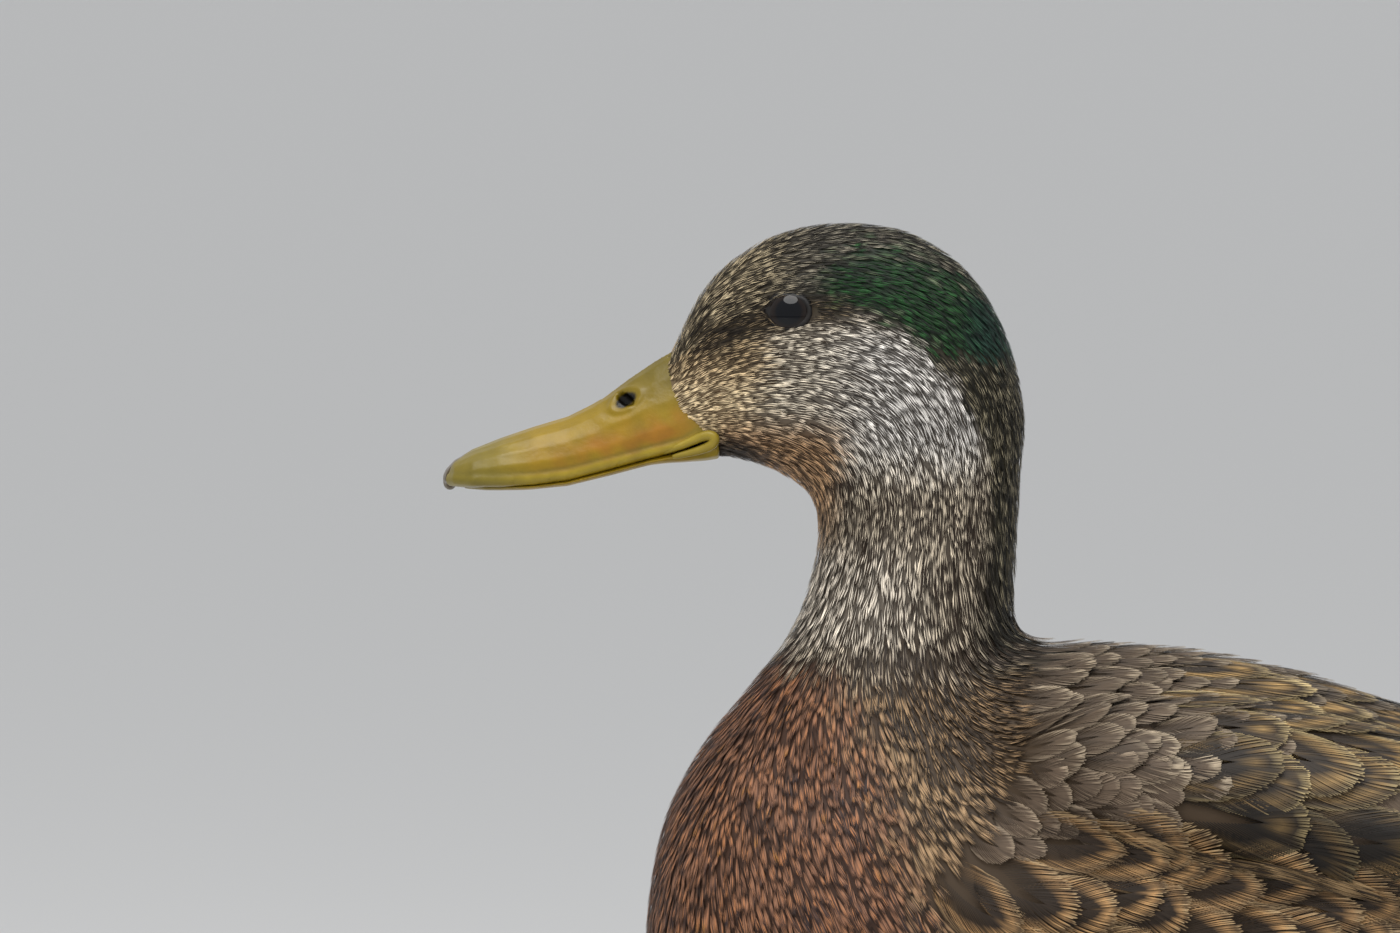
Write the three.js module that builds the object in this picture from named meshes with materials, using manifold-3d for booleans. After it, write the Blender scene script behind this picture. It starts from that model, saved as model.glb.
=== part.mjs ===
// A mallard x American black duck drake, life size, standing still and alert on both feet.
// Millimetres, +Z up. It faces -X, its left side is -Y, and its feet stand on z = 0.
import * as THREE from "three";
import { mergeVertices } from "three/addons/utils/BufferGeometryUtils.js";
import Module from "manifold-3d";

const wasm = await Module();
wasm.setup();

// ---------------------------------------------------------------- driving dimensions
const GAP = 0.3; // clearance between neighbouring pieces
const CUT_SPAN = 400; // side of the thin slabs that part the body, wider than the bird

const EYE = { x: -119.2, y: 10.9, z: 259.2, radius: 6 };
const NOSTRIL = { x: -152.9, z: 240.1, halfLength: 2.5, halfHeight: 1.35, depth: 2.2, tilt: 32 };
const NAIL = { x: -191.5, z: 223.6, length: 8.5, halfWidth: 4.2 };
const NAIL_HOOK = { halfLength: 1.5, halfWidth: 2.6, drop: 1.7 };
const CURL = { x: 163, z: 134.5, radius: 11, turn: 1.4 * Math.PI, halfWidth: 4.5, halfThickness: 0.7 };

const WING_BEND = 70; // radius that a wing's section bends round
const LEG_SPREAD = 29; // from the mid-plane to each leg
const HOCK_HEIGHT = 50;
const FOOT_X = 6; // where the tarsus meets the toes
const TARSUS_RAKE = 20; // how far the hock stands behind that
const TOE_IN = 5; // degrees that each foot turns towards the mid-plane
const TOE_LIFT = 0.8; // height of a toe's centre line, as a share of its radius
const CLAW_LENGTH = 6.5; // on the middle toe, less on the shorter ones
const WEB = { bottom: 0.6, thickness: 1.3, hollow: 0.86 };
const FRONT_TOES = [
  { length: 36, turn: 36, radius: 2.4, joints: 2 },
  { length: 46, turn: 2, radius: 2.7, joints: 3 },
  { length: 45, turn: -31, radius: 2.5, joints: 4 },
];
const HIND_TOE = { length: 11, turn: 166, radius: 1.7, joints: 1, lift: 1.25 };

// ---------------------------------------------------------------- stations
// Each row is one cross-section; the rows are joined by a smooth spline.

// x, top, bottom, half width, height of the widest line, squareness (2 is an ellipse)
const TRUNK = [
  [-150.2, 131, 122, 7, 126.5, 2],
  [-149.4, 138.5, 114, 18, 126, 2],
  [-146.8, 152, 104, 27.5, 124, 1.95],
  [-141, 165, 93.5, 37.5, 122, 1.85],
  [-130, 179.4, 82.5, 47.5, 120, 1.75],
  [-112, 186, 73.5, 55.5, 119, 1.72],
  [-84, 189.3, 66, 61.5, 119, 1.8],
  [-50, 190.6, 60.5, 65.5, 118, 1.95],
  [-8, 183.2, 57.5, 67, 115, 2.1],
  [40, 164.5, 59, 64.5, 111, 2.15],
  [85, 148.5, 68.5, 57, 108, 2.15],
  [122, 137, 82, 45, 109, 2.15],
  [148, 129.5, 95, 33, 111.5, 2.1],
  [168, 124, 104, 21.5, 114, 2],
  [184, 119.5, 110.5, 9, 115, 2],
];

// height, front, back, half width
const NECK = [
  [150, -131, -48, 46],
  [166, -137, -57, 39],
  [176, -133, -65, 33],
  [184, -126.2, -70.3, 28],
  [190, -120.8, -71.8, 24.8],
  [197, -116.8, -71.3, 22.3],
  [205, -114.2, -70.8, 20.2],
  [213, -113, -70.5, 19.1],
  [221, -114.4, -69.9, 18.4],
  [232, -116, -69.4, 17],
  [244, -112, -72.5, 13],
];

// x, top, bottom, half width, height of the widest line, squareness
const HEAD = [
  [-143.8, 250.2, 239, 6, 243, 2],
  [-141.8, 255, 234, 8.8, 242, 2],
  [-138.7, 261.4, 230.8, 11, 241.5, 2],
  [-134.9, 266.8, 228.9, 13, 241.5, 2],
  [-129.9, 271, 227.3, 15, 242, 2],
  [-123, 275, 225.6, 16.9, 242.5, 2],
  [-114.5, 277.4, 220.5, 18.4, 243, 2],
  [-104, 277.8, 213.5, 19.3, 243, 2],
  [-94, 276.2, 211, 19.3, 242, 2],
  [-84.5, 270.6, 213, 17.8, 241, 2],
  [-77, 262.6, 218, 14.8, 240, 2],
  [-72.4, 253.2, 222.5, 10.6, 238, 2],
  [-69.8, 243.4, 227, 6, 235.5, 2],
  [-68.8, 237, 231.5, 2, 234.5, 2],
];

// x, top, bottom, half width, height of the widest line, squareness: the fan of tail feathers
const TAIL = [
  [146, 127, 108, 20, 117, 2],
  [160, 123.5, 111, 24.5, 116.8, 2],
  [178, 119, 112.5, 27.5, 115.4, 2],
  [200, 115.2, 111.6, 31, 113.3, 2],
  [218, 112.6, 110.2, 31.5, 111.3, 2],
  [226, 111.4, 109.4, 27, 110.4, 2],
  [231, 110.6, 108.9, 17, 109.7, 2],
  [233, 110.1, 108.6, 5, 109.3, 2],
];

// x, distance from the mid-plane, height, half height, half thickness,
// degrees that the top edge leans in over the back
const WING = [
  [-74, 44.5, 166, 5, 3, 40],
  [-66, 47.5, 167, 12, 5.5, 40],
  [-52, 50, 167.5, 18, 7.5, 41],
  [-28, 51, 164.8, 21.5, 8.5, 42],
  [12, 51, 156, 22.5, 9, 43],
  [52, 45.5, 145, 20.5, 8, 46],
  [92, 36, 134.5, 17, 6.5, 50],
  [126, 26, 127.5, 13, 4.6, 55],
  [154, 16.5, 123.8, 9, 3, 60],
  [176, 10.2, 121.8, 5.2, 1.9, 64],
  [188, 7.6, 120.6, 2.2, 1.1, 66],
];

// x, culmen, mouth line, half width, squareness
const BILL_UPPER = [
  [-136, 252, 232.6, 8.6, 1.5],
  [-141, 251.2, 229.8, 9.6, 1.55],
  [-146.7, 247.9, 228.4, 9.9, 1.6],
  [-152, 244.3, 227, 9.8, 1.7],
  [-158, 239.8, 225.4, 9.6, 1.85],
  [-165, 236.3, 223.6, 9.7, 2],
  [-172, 234.2, 222.7, 10.5, 2.1],
  [-179, 231.8, 222.4, 11.4, 2.2],
  [-185, 229.4, 222.4, 10.6, 2.2],
  [-188.6, 227.5, 222.6, 7.8, 2.1],
  [-190.4, 225.6, 222.4, 4.2, 2],
  [-191, 224.4, 222.8, 1.6, 2],
];

// x, mouth line, underside, half width
const BILL_LOWER = [
  [-134, 232, 228.2, 8],
  [-141, 229.3, 227.2, 9],
  [-148, 227.7, 226.1, 9.2],
  [-156, 225.4, 224, 9],
  [-165, 223.2, 221.9, 9.1],
  [-174, 222.3, 221.2, 9.8],
  [-182, 222.1, 221.2, 8.6],
  [-186, 222, 221.5, 4.5],
];

// height, x offset from the hock, radius fore and aft, radius across
const THIGH = [
  [92, -16, 22, 15],
  [78, -13, 20.5, 14],
  [66, -8, 16.5, 11.5],
  [57, -3, 10, 8],
  [50.5, 0.2, 5.6, 4.8],
];

// share of the way from hock to foot, radius fore and aft, radius across
const TARSUS = [
  [-0.07, 2.4, 2.2],
  [0, 4.4, 3.8],
  [0.1, 4, 3.3],
  [0.3, 3.1, 2.6],
  [0.7, 3, 2.5],
  [0.92, 3.6, 3.1],
  [1, 3.4, 3],
];

// ---------------------------------------------------------------- shape helpers
const { degToRad } = THREE.MathUtils;

/** Rows with smooth rows put in, so that each span has `steps` parts. */
function splined(rows, steps) {
  const spans = rows.slice(1).map((row, i) => Math.hypot(...row.map((v, k) => v - rows[i][k])));
  const slope = (i, k) => {
    const before = Math.max(i - 1, 0);
    const after = Math.min(i + 1, rows.length - 1);
    const run = spans.slice(before, after).reduce((sum, span) => sum + span, 0);
    return (rows[after][k] - rows[before][k]) / run;
  };
  const made = spans.flatMap((span, i) =>
    Array.from({ length: steps }, (_, s) => {
      const t = s / steps;
      return rows[i].map((from, k) => {
        const leave = slope(i, k) * span;
        const arrive = slope(i + 1, k) * span;
        const rise = rows[i + 1][k] - from;
        const bend = 3 * rise - 2 * leave - arrive;
        const twist = leave + arrive - 2 * rise;
        return from + t * (leave + t * (bend + t * twist));
      });
    }),
  );
  return [...made, rows.at(-1)];
}

/** A ring of `count` points in (across, up), squarer as `power` grows. */
function oval(count, half, top, bottom, widest = 0, power = 2) {
  const bulge = (value) => Math.sign(value) * Math.abs(value) ** (2 / power);
  return Array.from({ length: count }, (_, i) => {
    const angle = (2 * Math.PI * i) / count;
    const up = bulge(Math.sin(angle));
    return [half * bulge(Math.cos(angle)), widest + up * (up > 0 ? top - widest : widest - bottom)];
  });
}

/** A closed geometry through rings of Vector3, with a fan over each end. */
function loft(rings) {
  const count = rings[0].length;
  const points = rings.flat();
  const index = [];
  for (let start = 0; start < points.length - count; start += count) {
    for (let i = 0; i < count; i++) {
      const a = start + i;
      const b = start + ((i + 1) % count);
      index.push(a, b, a + count, b, b + count, a + count);
    }
  }
  const middle = (ring) => ring.reduce((sum, p) => sum.add(p), new THREE.Vector3()).divideScalar(count);
  const first = points.push(middle(rings[0])) - 1;
  const last = points.push(middle(rings.at(-1))) - 1;
  for (let i = 0; i < count; i++) {
    const next = (i + 1) % count;
    index.push(next, i, first);
    index.push(first - count + i, first - count + next, last);
  }
  return new THREE.BufferGeometry().setFromPoints(points).setIndex(index);
}

/** A closed geometry as a solid that can be cut and joined, turned face out if need be. */
function solid(geometry) {
  const bare = geometry.clone();
  bare.deleteAttribute("normal");
  bare.deleteAttribute("uv");
  const merged = mergeVertices(bare, 1e-4);
  const vertProperties = new Float32Array(merged.getAttribute("position").array);
  const triVerts = new Uint32Array(merged.index.array);
  const made = new wasm.Manifold(new wasm.Mesh({ numProp: 3, vertProperties, triVerts }));
  if (made.volume() >= 0) {
    return made;
  }
  triVerts.reverse();
  return new wasm.Manifold(new wasm.Mesh({ numProp: 3, vertProperties, triVerts }));
}

/** The separate pieces of a solid, largest first. */
function pieces(shape) {
  return shape.decompose().sort((a, b) => b.volume() - a.volume());
}

/** Rows of x, top, bottom, half width, widest, squareness as a solid, `grow` larger all round. */
function lengthwise(rows, steps, around, grow = 0) {
  const rings = splined(rows, steps).map(([x, top, bottom, half, widest, power]) =>
    oval(around, half + grow, top + grow, bottom - grow, widest, power).map(
      ([y, z]) => new THREE.Vector3(x, y, z),
    ),
  );
  return solid(loft(rings));
}

/** A level oval ring about (x, y) at height z. */
function levelRing(count, x, y, z, foreAft, across) {
  return oval(count, foreAft, across, -across).map(
    ([dx, dy]) => new THREE.Vector3(x + dx, y + dy, z),
  );
}

/** An ellipsoid about (x, y, z). */
function ellipsoid(x, y, z, rx, ry, rz, segments) {
  const ball = new THREE.SphereGeometry(1, segments, segments / 2);
  ball.scale(rx, ry, rz);
  ball.translate(x, y, z);
  return solid(ball);
}

/** A left-hand solid, reflected if it is for the right side. */
const onSide = (shape, side) => (side === "left" ? shape : shape.mirror([0, 1, 0]));

// ---------------------------------------------------------------- neck, wings, curl
function neckSolid() {
  const rings = NECK.map(([z, front, back, half]) =>
    levelRing(22, (front + back) / 2, 0, z, (back - front) / 2, half),
  );
  return solid(loft(rings));
}

/** The left folded wing, a long thin shield that leans in and bends round the back. */
function wingSolid(grow) {
  const rings = WING.map(([x, out, z, halfHeight, halfThickness, lean]) => {
    const sin = Math.sin(degToRad(lean));
    const cos = Math.cos(degToRad(lean));
    const high = halfHeight + grow;
    return oval(12, halfThickness + grow, high, -high, 0, 2.2).map(([thick, up]) => {
      const outward = thick - up ** 2 / (2 * WING_BEND);
      return new THREE.Vector3(x, -out - outward * cos + up * sin, z + outward * sin + up * cos);
    });
  });
  return solid(loft(rings));
}

/** The drake's curled feathers: one blade that rises from the rump and rolls forwards. */
function curlSolid(grow) {
  const points = [new THREE.Vector3(CURL.x - 14, 0, CURL.z - CURL.radius + 1.5)];
  const turns = 12;
  for (let i = 0; i <= turns; i++) {
    const turn = (i / turns) * CURL.turn;
    const radius = CURL.radius * (1 - (0.35 * i) / turns);
    const back = radius * Math.sin(turn);
    points.push(new THREE.Vector3(CURL.x + back, 0, CURL.z - radius * Math.cos(turn)));
  }
  const path = new THREE.CatmullRomCurve3(points);
  const across = new THREE.Vector3(0, 1, 0);
  const count = 16;
  const rings = Array.from({ length: count + 1 }, (_, i) => {
    const at = path.getPointAt(i / count);
    const up = new THREE.Vector3().crossVectors(path.getTangentAt(i / count), across);
    const half = CURL.halfWidth * (1 - 0.6 * (i / count) ** 3) + grow;
    const thick = CURL.halfThickness + grow;
    return oval(8, half, thick, -thick).map(([y, rise]) =>
      at.clone().addScaledVector(across, y).addScaledVector(up, rise),
    );
  });
  return solid(loft(rings));
}

// ---------------------------------------------------------------- bill and eyes
function billUpper(grow) {
  const lip = 1.1; // height of the widest line over the mouth line
  const rings = BILL_UPPER.map(([x, culmen, mouth, half, power]) =>
    oval(20, half + grow, culmen + grow, mouth - grow, mouth + lip, power).map(
      ([y, z]) => new THREE.Vector3(x, y, z),
    ),
  );
  return solid(loft(rings));
}

function billLower(grow) {
  const rings = BILL_LOWER.map(([x, mouth, under, half]) =>
    oval(12, half + grow, mouth + grow, under - grow, (mouth + under) / 2, 2.4).map(
      ([y, z]) => new THREE.Vector3(x, y, z),
    ),
  );
  return solid(loft(rings));
}

/** The space that the horny nail takes at the tip of the bill. */
function nailZone(grow) {
  const reach = NAIL.length + grow;
  return ellipsoid(NAIL.x, 0, NAIL.z, reach, NAIL.halfWidth + grow, reach, 14);
}

/** The small hook that the nail turns down over the edge of the bill. */
function nailHook(grow) {
  const { halfLength, halfWidth, drop } = NAIL_HOOK;
  const x = NAIL.x + halfLength + 0.4;
  return ellipsoid(x, 0, NAIL.z - 0.8, halfLength + grow, halfWidth + grow, drop + grow, 10);
}

function nostril() {
  const bore = new THREE.CylinderGeometry(1, 1, 12, 16);
  bore.scale(NOSTRIL.halfLength, 1, NOSTRIL.halfHeight);
  bore.rotateY(degToRad(NOSTRIL.tilt));
  bore.translate(NOSTRIL.x, -6 - NOSTRIL.depth, NOSTRIL.z);
  return solid(bore);
}

function eye(grow) {
  const radius = EYE.radius + grow;
  return ellipsoid(EYE.x, -EYE.y, EYE.z, radius, radius, radius, 14);
}

// ---------------------------------------------------------------- legs and feet
const HOCK = new THREE.Vector3(FOOT_X + TARSUS_RAKE, -LEG_SPREAD, HOCK_HEIGHT);
const TOE_ROOT = new THREE.Vector3(FOOT_X, -LEG_SPREAD, 3.6);

function thigh() {
  const rings = THIGH.map(([z, shift, foreAft, across]) =>
    levelRing(16, HOCK.x + shift, HOCK.y, z, foreAft, across),
  );
  return solid(loft(rings));
}

function tarsus(grow) {
  const rings = TARSUS.map(([share, foreAft, across]) => {
    const at = HOCK.clone().lerp(TOE_ROOT, share);
    return levelRing(12, at.x, at.y, at.z, foreAft + grow, across + grow);
  });
  return solid(loft(rings));
}

/** The point `distance` out from the toes' root, `turn` degrees from straight ahead. */
function footPoint(distance, turn) {
  const heading = degToRad(180 + turn);
  return new THREE.Vector3(Math.cos(heading), Math.sin(heading), 0).multiplyScalar(distance);
}

/** A tapered toe, swollen at its joints, that ends in a claw. */
function toe({ length, turn, radius, joints, lift = TOE_LIFT }) {
  const side = footPoint(1, turn + 90);
  const ring = (distance, r, z) =>
    oval(6, r, r, -r).map(([across, up]) =>
      footPoint(distance, turn).addScaledVector(side, across).setZ(z + up),
    );
  const rings = [];
  const count = 2 * joints;
  for (let i = 0; i <= count; i++) {
    const swelling = i % 2 === 0 ? 1.09 : 0.91;
    const r = radius * (1 - (0.35 * i) / count) * swelling;
    rings.push(ring((i / count) * length, r, r * lift));
  }
  const claw = CLAW_LENGTH * (length / FRONT_TOES[1].length);
  for (const t of [0.3, 0.65, 1]) {
    const r = radius * 0.55 * (1 - 0.8 * t);
    rings.push(ring(length + t * claw, r, 1.9 - 0.9 * t * t));
  }
  return solid(loft(rings));
}

/** The skin between the three front toes, with a hollow edge from tip to tip. */
function web() {
  const [inner, middle, outer] = FRONT_TOES.map(({ length, turn }) => {
    const { x, y } = footPoint(length * 0.93, turn);
    return new THREE.Vector2(x, y);
  });
  const heel = 3;
  const shape = new THREE.Shape();
  shape.moveTo(heel, 0);
  shape.lineTo(inner.x, inner.y);
  for (const [from, to] of [
    [inner, middle],
    [middle, outer],
  ]) {
    const hollow = from.clone().add(to).multiplyScalar(WEB.hollow / 2);
    shape.quadraticCurveTo(hollow.x, hollow.y, to.x, to.y);
  }
  shape.lineTo(heel, 0);
  const sheet = new THREE.ExtrudeGeometry(shape, {
    depth: WEB.thickness,
    bevelEnabled: false,
    curveSegments: 6,
  });
  sheet.translate(0, 0, WEB.bottom);
  return solid(sheet);
}

/** The left foot: three webbed toes, the small raised hind toe and the joint above them. */
function foot() {
  let made = ellipsoid(0.5, 0, 3.4, 5, 4.4, 4.6, 10).add(web());
  for (const shape of [...FRONT_TOES, HIND_TOE]) {
    made = made.add(toe(shape));
  }
  const below = new THREE.BoxGeometry(200, 200, 20);
  below.translate(0, 0, -10);
  return made
    .subtract(solid(below))
    .rotate([0, 0, TOE_IN])
    .translate([FOOT_X, -LEG_SPREAD, 0]);
}

// ---------------------------------------------------------------- materials
const finish = (color, roughness) =>
  new THREE.MeshStandardMaterial({ color, roughness, metalness: 0 });
const MATERIALS = {
  headFeathers: finish("#6d6355", 0.85),
  neckFeathers: finish("#7d7263", 0.85),
  breastFeathers: finish("#5a3a22", 0.85),
  bodyFeathers: finish("#453829", 0.85),
  wingFeathers: finish("#3c342b", 0.75),
  tailFeathers: finish("#4b4238", 0.8),
  curlFeathers: finish("#14181a", 0.5),
  bill: finish("#a39422", 0.4),
  nail: finish("#2a2118", 0.4),
  eye: finish("#0d0b0c", 0.05),
  leg: finish("#c2581c", 0.5),
};

// ---------------------------------------------------------------- assembly
const bird = new THREE.Group();

function addNode(name, shape, material) {
  const { vertProperties, triVerts } = pieces(shape)[0].getMesh();
  const geometry = new THREE.BufferGeometry();
  geometry.setAttribute("position", new THREE.BufferAttribute(vertProperties, 3));
  geometry.setIndex(new THREE.BufferAttribute(triVerts, 1));
  const node = new THREE.Mesh(geometry, material);
  node.name = name;
  bird.add(node);
}

const wholeTrunk = (grow) => lengthwise(TRUNK, 2, 22, grow);

/** The head, neck, trunk and tail in one, with beds for what lies in or on them. */
function wholeBody() {
  let body = lengthwise(HEAD, 1, 18).add(neckSolid());
  body = body.add(wholeTrunk(0)).add(lengthwise(TAIL, 1, 12));
  for (const side of ["left", "right"]) {
    body = body.subtract(onSide(wingSolid(GAP), side)).subtract(onSide(eye(GAP), side));
  }
  return body.subtract(curlSolid(GAP)).subtract(billUpper(GAP)).subtract(billLower(GAP));
}

/** The parts of a shape before and behind a thin cut through (x, z), at `degrees` to level. */
function parted(shape, x, z, degrees) {
  const plate = new THREE.BoxGeometry(CUT_SPAN, CUT_SPAN, GAP);
  plate.rotateY(degToRad(degrees));
  plate.translate(x, 0, z);
  const forwardness = (piece) => {
    const { min, max } = piece.boundingBox();
    return max[2] + min[2] - max[0] - min[0];
  };
  const [one, other] = pieces(shape.subtract(solid(plate)));
  return forwardness(one) > forwardness(other) ? [one, other] : [other, one];
}

// The cuts run from the throat to the tail; each frees the node in front of it.
const CUTS = [
  { name: "head", x: -92, z: 219.5, degrees: -9, material: MATERIALS.headFeathers },
  { name: "neck", x: -97, z: 188.2, degrees: -5.5, material: MATERIALS.neckFeathers },
  { name: "breast", x: -88, z: 120, degrees: 80, material: MATERIALS.breastFeathers },
  { name: "trunk", x: 96, z: 110, degrees: 75, material: MATERIALS.bodyFeathers },
  { name: "rump", x: 158, z: 115, degrees: 75, material: MATERIALS.bodyFeathers },
];
let rest = wholeBody();
for (const { name, x, z, degrees, material } of CUTS) {
  const [front, back] = parted(rest, x, z, degrees);
  addNode(name, front, material);
  rest = back;
}
addNode("tail", rest, MATERIALS.tailFeathers);
addNode("tail_curl", curlSolid(0), MATERIALS.curlFeathers);

const upper = billUpper(0).subtract(nailZone(GAP)).subtract(nailHook(GAP));
addNode("bill_upper", upper.subtract(nostril()).subtract(onSide(nostril(), "right")), MATERIALS.bill);
addNode("bill_lower", billLower(0).subtract(billUpper(GAP)).subtract(nailHook(GAP)), MATERIALS.bill);
addNode("bill_nail", billUpper(0).intersect(nailZone(0)).add(nailHook(0)), MATERIALS.nail);

const leftHalves = [
  ["eye", eye(0), MATERIALS.eye],
  ["wing", wingSolid(0).subtract(curlSolid(GAP)), MATERIALS.wingFeathers],
  ["thigh", thigh().subtract(tarsus(GAP)).subtract(wholeTrunk(GAP)), MATERIALS.bodyFeathers],
  ["tarsus", tarsus(0), MATERIALS.leg],
  ["foot", foot().subtract(tarsus(GAP)), MATERIALS.leg],
];
for (const [name, shape, material] of leftHalves) {
  addNode(`${name}_left`, shape, material);
  addNode(`${name}_right`, onSide(shape, "right"), material);
}

// The origin is on the floor, below the middle of the whole bird.
const extent = new THREE.Box3().setFromObject(bird);
bird.position.x = -(extent.min.x + extent.max.x) / 2;

const duck = new THREE.Group();
duck.add(bird);
export default duck;
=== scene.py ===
"""Looks of a life-size drake, a mallard x American black duck cross, standing alert.

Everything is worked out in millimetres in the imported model's own frame: the bird faces -X,
its left side is -Y and the floor is z = 0. Meshes are written in metres at the end.
"""
import copy
import math

import bmesh
import bpy
import numpy as np
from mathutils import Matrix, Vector
from mathutils.bvhtree import BVHTree


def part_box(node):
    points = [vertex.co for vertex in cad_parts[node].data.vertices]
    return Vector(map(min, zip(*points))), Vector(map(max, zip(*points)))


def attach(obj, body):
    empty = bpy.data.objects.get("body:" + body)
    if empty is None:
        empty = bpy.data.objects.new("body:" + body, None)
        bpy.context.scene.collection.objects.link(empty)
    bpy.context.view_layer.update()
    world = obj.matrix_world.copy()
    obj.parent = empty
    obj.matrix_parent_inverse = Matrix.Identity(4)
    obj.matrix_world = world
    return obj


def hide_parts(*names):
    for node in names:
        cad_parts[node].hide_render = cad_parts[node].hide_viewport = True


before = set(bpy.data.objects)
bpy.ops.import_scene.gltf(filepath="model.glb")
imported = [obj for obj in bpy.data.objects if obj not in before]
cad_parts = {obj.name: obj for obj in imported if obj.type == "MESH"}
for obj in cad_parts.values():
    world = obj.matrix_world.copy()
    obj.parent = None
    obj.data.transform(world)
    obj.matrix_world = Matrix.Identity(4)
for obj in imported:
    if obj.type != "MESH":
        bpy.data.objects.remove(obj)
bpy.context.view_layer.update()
BODY = "root"
MM = 0.001
ACROSS, UP = np.array([0.0, 1.0, 0.0]), np.array([0.0, 0.0, 1.0])
SIDES = {"left": -1.0, "right": 1.0}

# ------------------------------------------------------------------ landmarks


def corners(node):
    """Lowest and highest corner of a CAD node, in mm."""
    low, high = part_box(node)
    return np.array(low) / MM, np.array(high) / MM


def centre(node):
    low, high = corners(node)
    return (low + high) / 2


EYE = centre("eye_left") * (1, 0, 1)  # on the mid-plane, between the two eyes
EYE_RADIUS = (corners("eye_left")[1] - corners("eye_left")[0])[0] / 2
NECK_BASE = corners("neck")[0][2]
TAIL_LOW, TAIL_HIGH = corners("tail")
CURL_LOW, CURL_HIGH = corners("tail_curl")
WING_END = corners("wing_left")[1][0]
RUMP_END = TAIL_LOW[0] - 1
# How far back the edge of the feathers lies at the bill's base: (up, back) from the eye.
BILL_MARGIN = [(-25, -15.6), (-24, -18.8), (-22.6, -21.1), (-18.6, -22.3), (-12.6, -23.7), (-9, -24.5)]
FLESH = ["head", "neck", "breast", "trunk", "rump"] + [
    f"{part}_{side}" for part in ("wing", "thigh") for side in SIDES
]
CORE = FLESH + ["eye_left", "eye_right", "bill_upper", "bill_lower"]  # the skin is closed over these

# ------------------------------------------------------------------ small helpers


def unit(v):
    return v / np.maximum(np.linalg.norm(v, axis=-1, keepdims=True), 1e-9)


def laid_flat(way, out):
    """Unit directions along a surface, from directions that may point off it."""
    return unit(way - out * (way * out).sum(-1, keepdims=True))


def both_sides(left):
    """Points on the left followed by their mirror images."""
    return np.concatenate([left, left * (1, -1, 1)])


def smoothstep(start, full, x):
    """0 at start and 1 at full, whichever of them is higher."""
    t = np.clip((x - start) / (full - start), 0, 1)
    return t * t * (3 - 2 * t)


def mix(a, b, t):
    return a + (b - a) * t


def srgb(*rgb):
    """A display colour, 0 to 255, as linear light."""
    c = np.array(rgb) / 255
    return np.where(c <= 0.04045, c / 12.92, ((c + 0.055) / 1.055) ** 2.4)


def edge_height(line, back):
    """Height of a line of (back, up) places over or under each point, or the other way about."""
    return np.interp(back, *np.array(line, float).T)


def ripple(p, size, seed):
    """Soft random variation, about -1 to 1, with features of about this size."""
    rng = np.random.default_rng(seed)
    total = 0
    for _ in range(7):
        way = unit(rng.normal(size=3)) * rng.uniform(0.7, 1.4) * 2 * math.pi / size
        total = total + np.sin(p @ way + rng.uniform(0, 2 * math.pi))
    return total / 2.6


class Place:
    """Where points lie on the bird, for coats and markings to ask."""

    def __init__(self, p):
        self.p = p
        self.back = p[:, 0] - EYE[0]
        self.up = p[:, 2] - EYE[2]
        self.side = np.abs(p[:, 1])

    def above(self, line, soft):
        """1 over a line and 0 under it, with a ragged soft edge."""
        gap = self.up - edge_height(line, self.back) + 0.8 * soft * ripple(self.p, 3.5, 5)
        return smoothstep(-soft, soft, gap)


def layered(colour, layers):
    """A linear colour for each point, with display colours laid over it by their share there."""
    for rgb, share in layers:
        colour = mix(colour, srgb(*rgb), share[..., None])
    return colour


def new_mesh(name, points, faces):
    """A mesh from points in mm and an array of triangles or quads, or a list of such arrays."""
    groups = [np.asarray(f) for f in (faces if isinstance(faces, list) else [faces])]
    mesh = bpy.data.meshes.new(name)
    mesh.vertices.add(len(points))
    mesh.vertices.foreach_set("co", (np.asarray(points) * MM).astype(np.float32).ravel())
    totals = np.concatenate([np.full(len(g), g.shape[1]) for g in groups])
    corners_of = np.concatenate([g.ravel() for g in groups])
    mesh.loops.add(len(corners_of))
    mesh.loops.foreach_set("vertex_index", corners_of.astype(np.int32))
    mesh.polygons.add(len(totals))
    starts = np.concatenate([[0], np.cumsum(totals)[:-1]])
    mesh.polygons.foreach_set("loop_start", starts.astype(np.int32))
    mesh.polygons.foreach_set("loop_total", totals.astype(np.int32))
    mesh.polygons.foreach_set("use_smooth", np.ones(len(totals), bool))
    mesh.update(calc_edges=True)
    return mesh


def add_piece(name, mesh, material, replaces=()):
    """A piece that rides on the body, with its material; the CAD nodes it stands for are hidden."""
    piece = bpy.data.objects.new(name, mesh)
    bpy.context.scene.collection.objects.link(piece)
    if material:
        mesh.materials.clear()
        mesh.materials.append(material)
    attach(piece, BODY)
    if replaces:
        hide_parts(*replaces)
    return piece


def paint(mesh, name, values):
    """A colour on each point, linear, from an array with three columns."""
    layer = mesh.color_attributes.new(name, "FLOAT_COLOR", "POINT")
    rgba = np.ones((len(values), 4), np.float32)
    rgba[:, :3] = values
    layer.data.foreach_set("color", rgba.ravel())


def paint_vector(mesh, name, values):
    """Three plain numbers on each point, for the material to read."""
    layer = mesh.attributes.new(name, "FLOAT_VECTOR", "POINT")
    layer.data.foreach_set("vector", np.asarray(values, np.float32).ravel())


def add_painted(name, points, faces, tint, material, replaces=()):
    """A piece from points and faces, with one colour in all or one for each point."""
    mesh = new_mesh(name, points, faces)
    paint(mesh, "tint", np.broadcast_to(tint, (len(points), 3)))
    return add_piece(name, mesh, material, replaces)


def bake_map(mesh, uv):
    """The map that colours are baked on, from one place for each point."""
    layer = mesh.uv_layers.new(name="OFBake")
    of_loop = np.empty(len(mesh.loops), np.int32)
    mesh.loops.foreach_get("vertex_index", of_loop)
    layer.data.foreach_set("uv", uv[of_loop].astype(np.float32).ravel())


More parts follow.
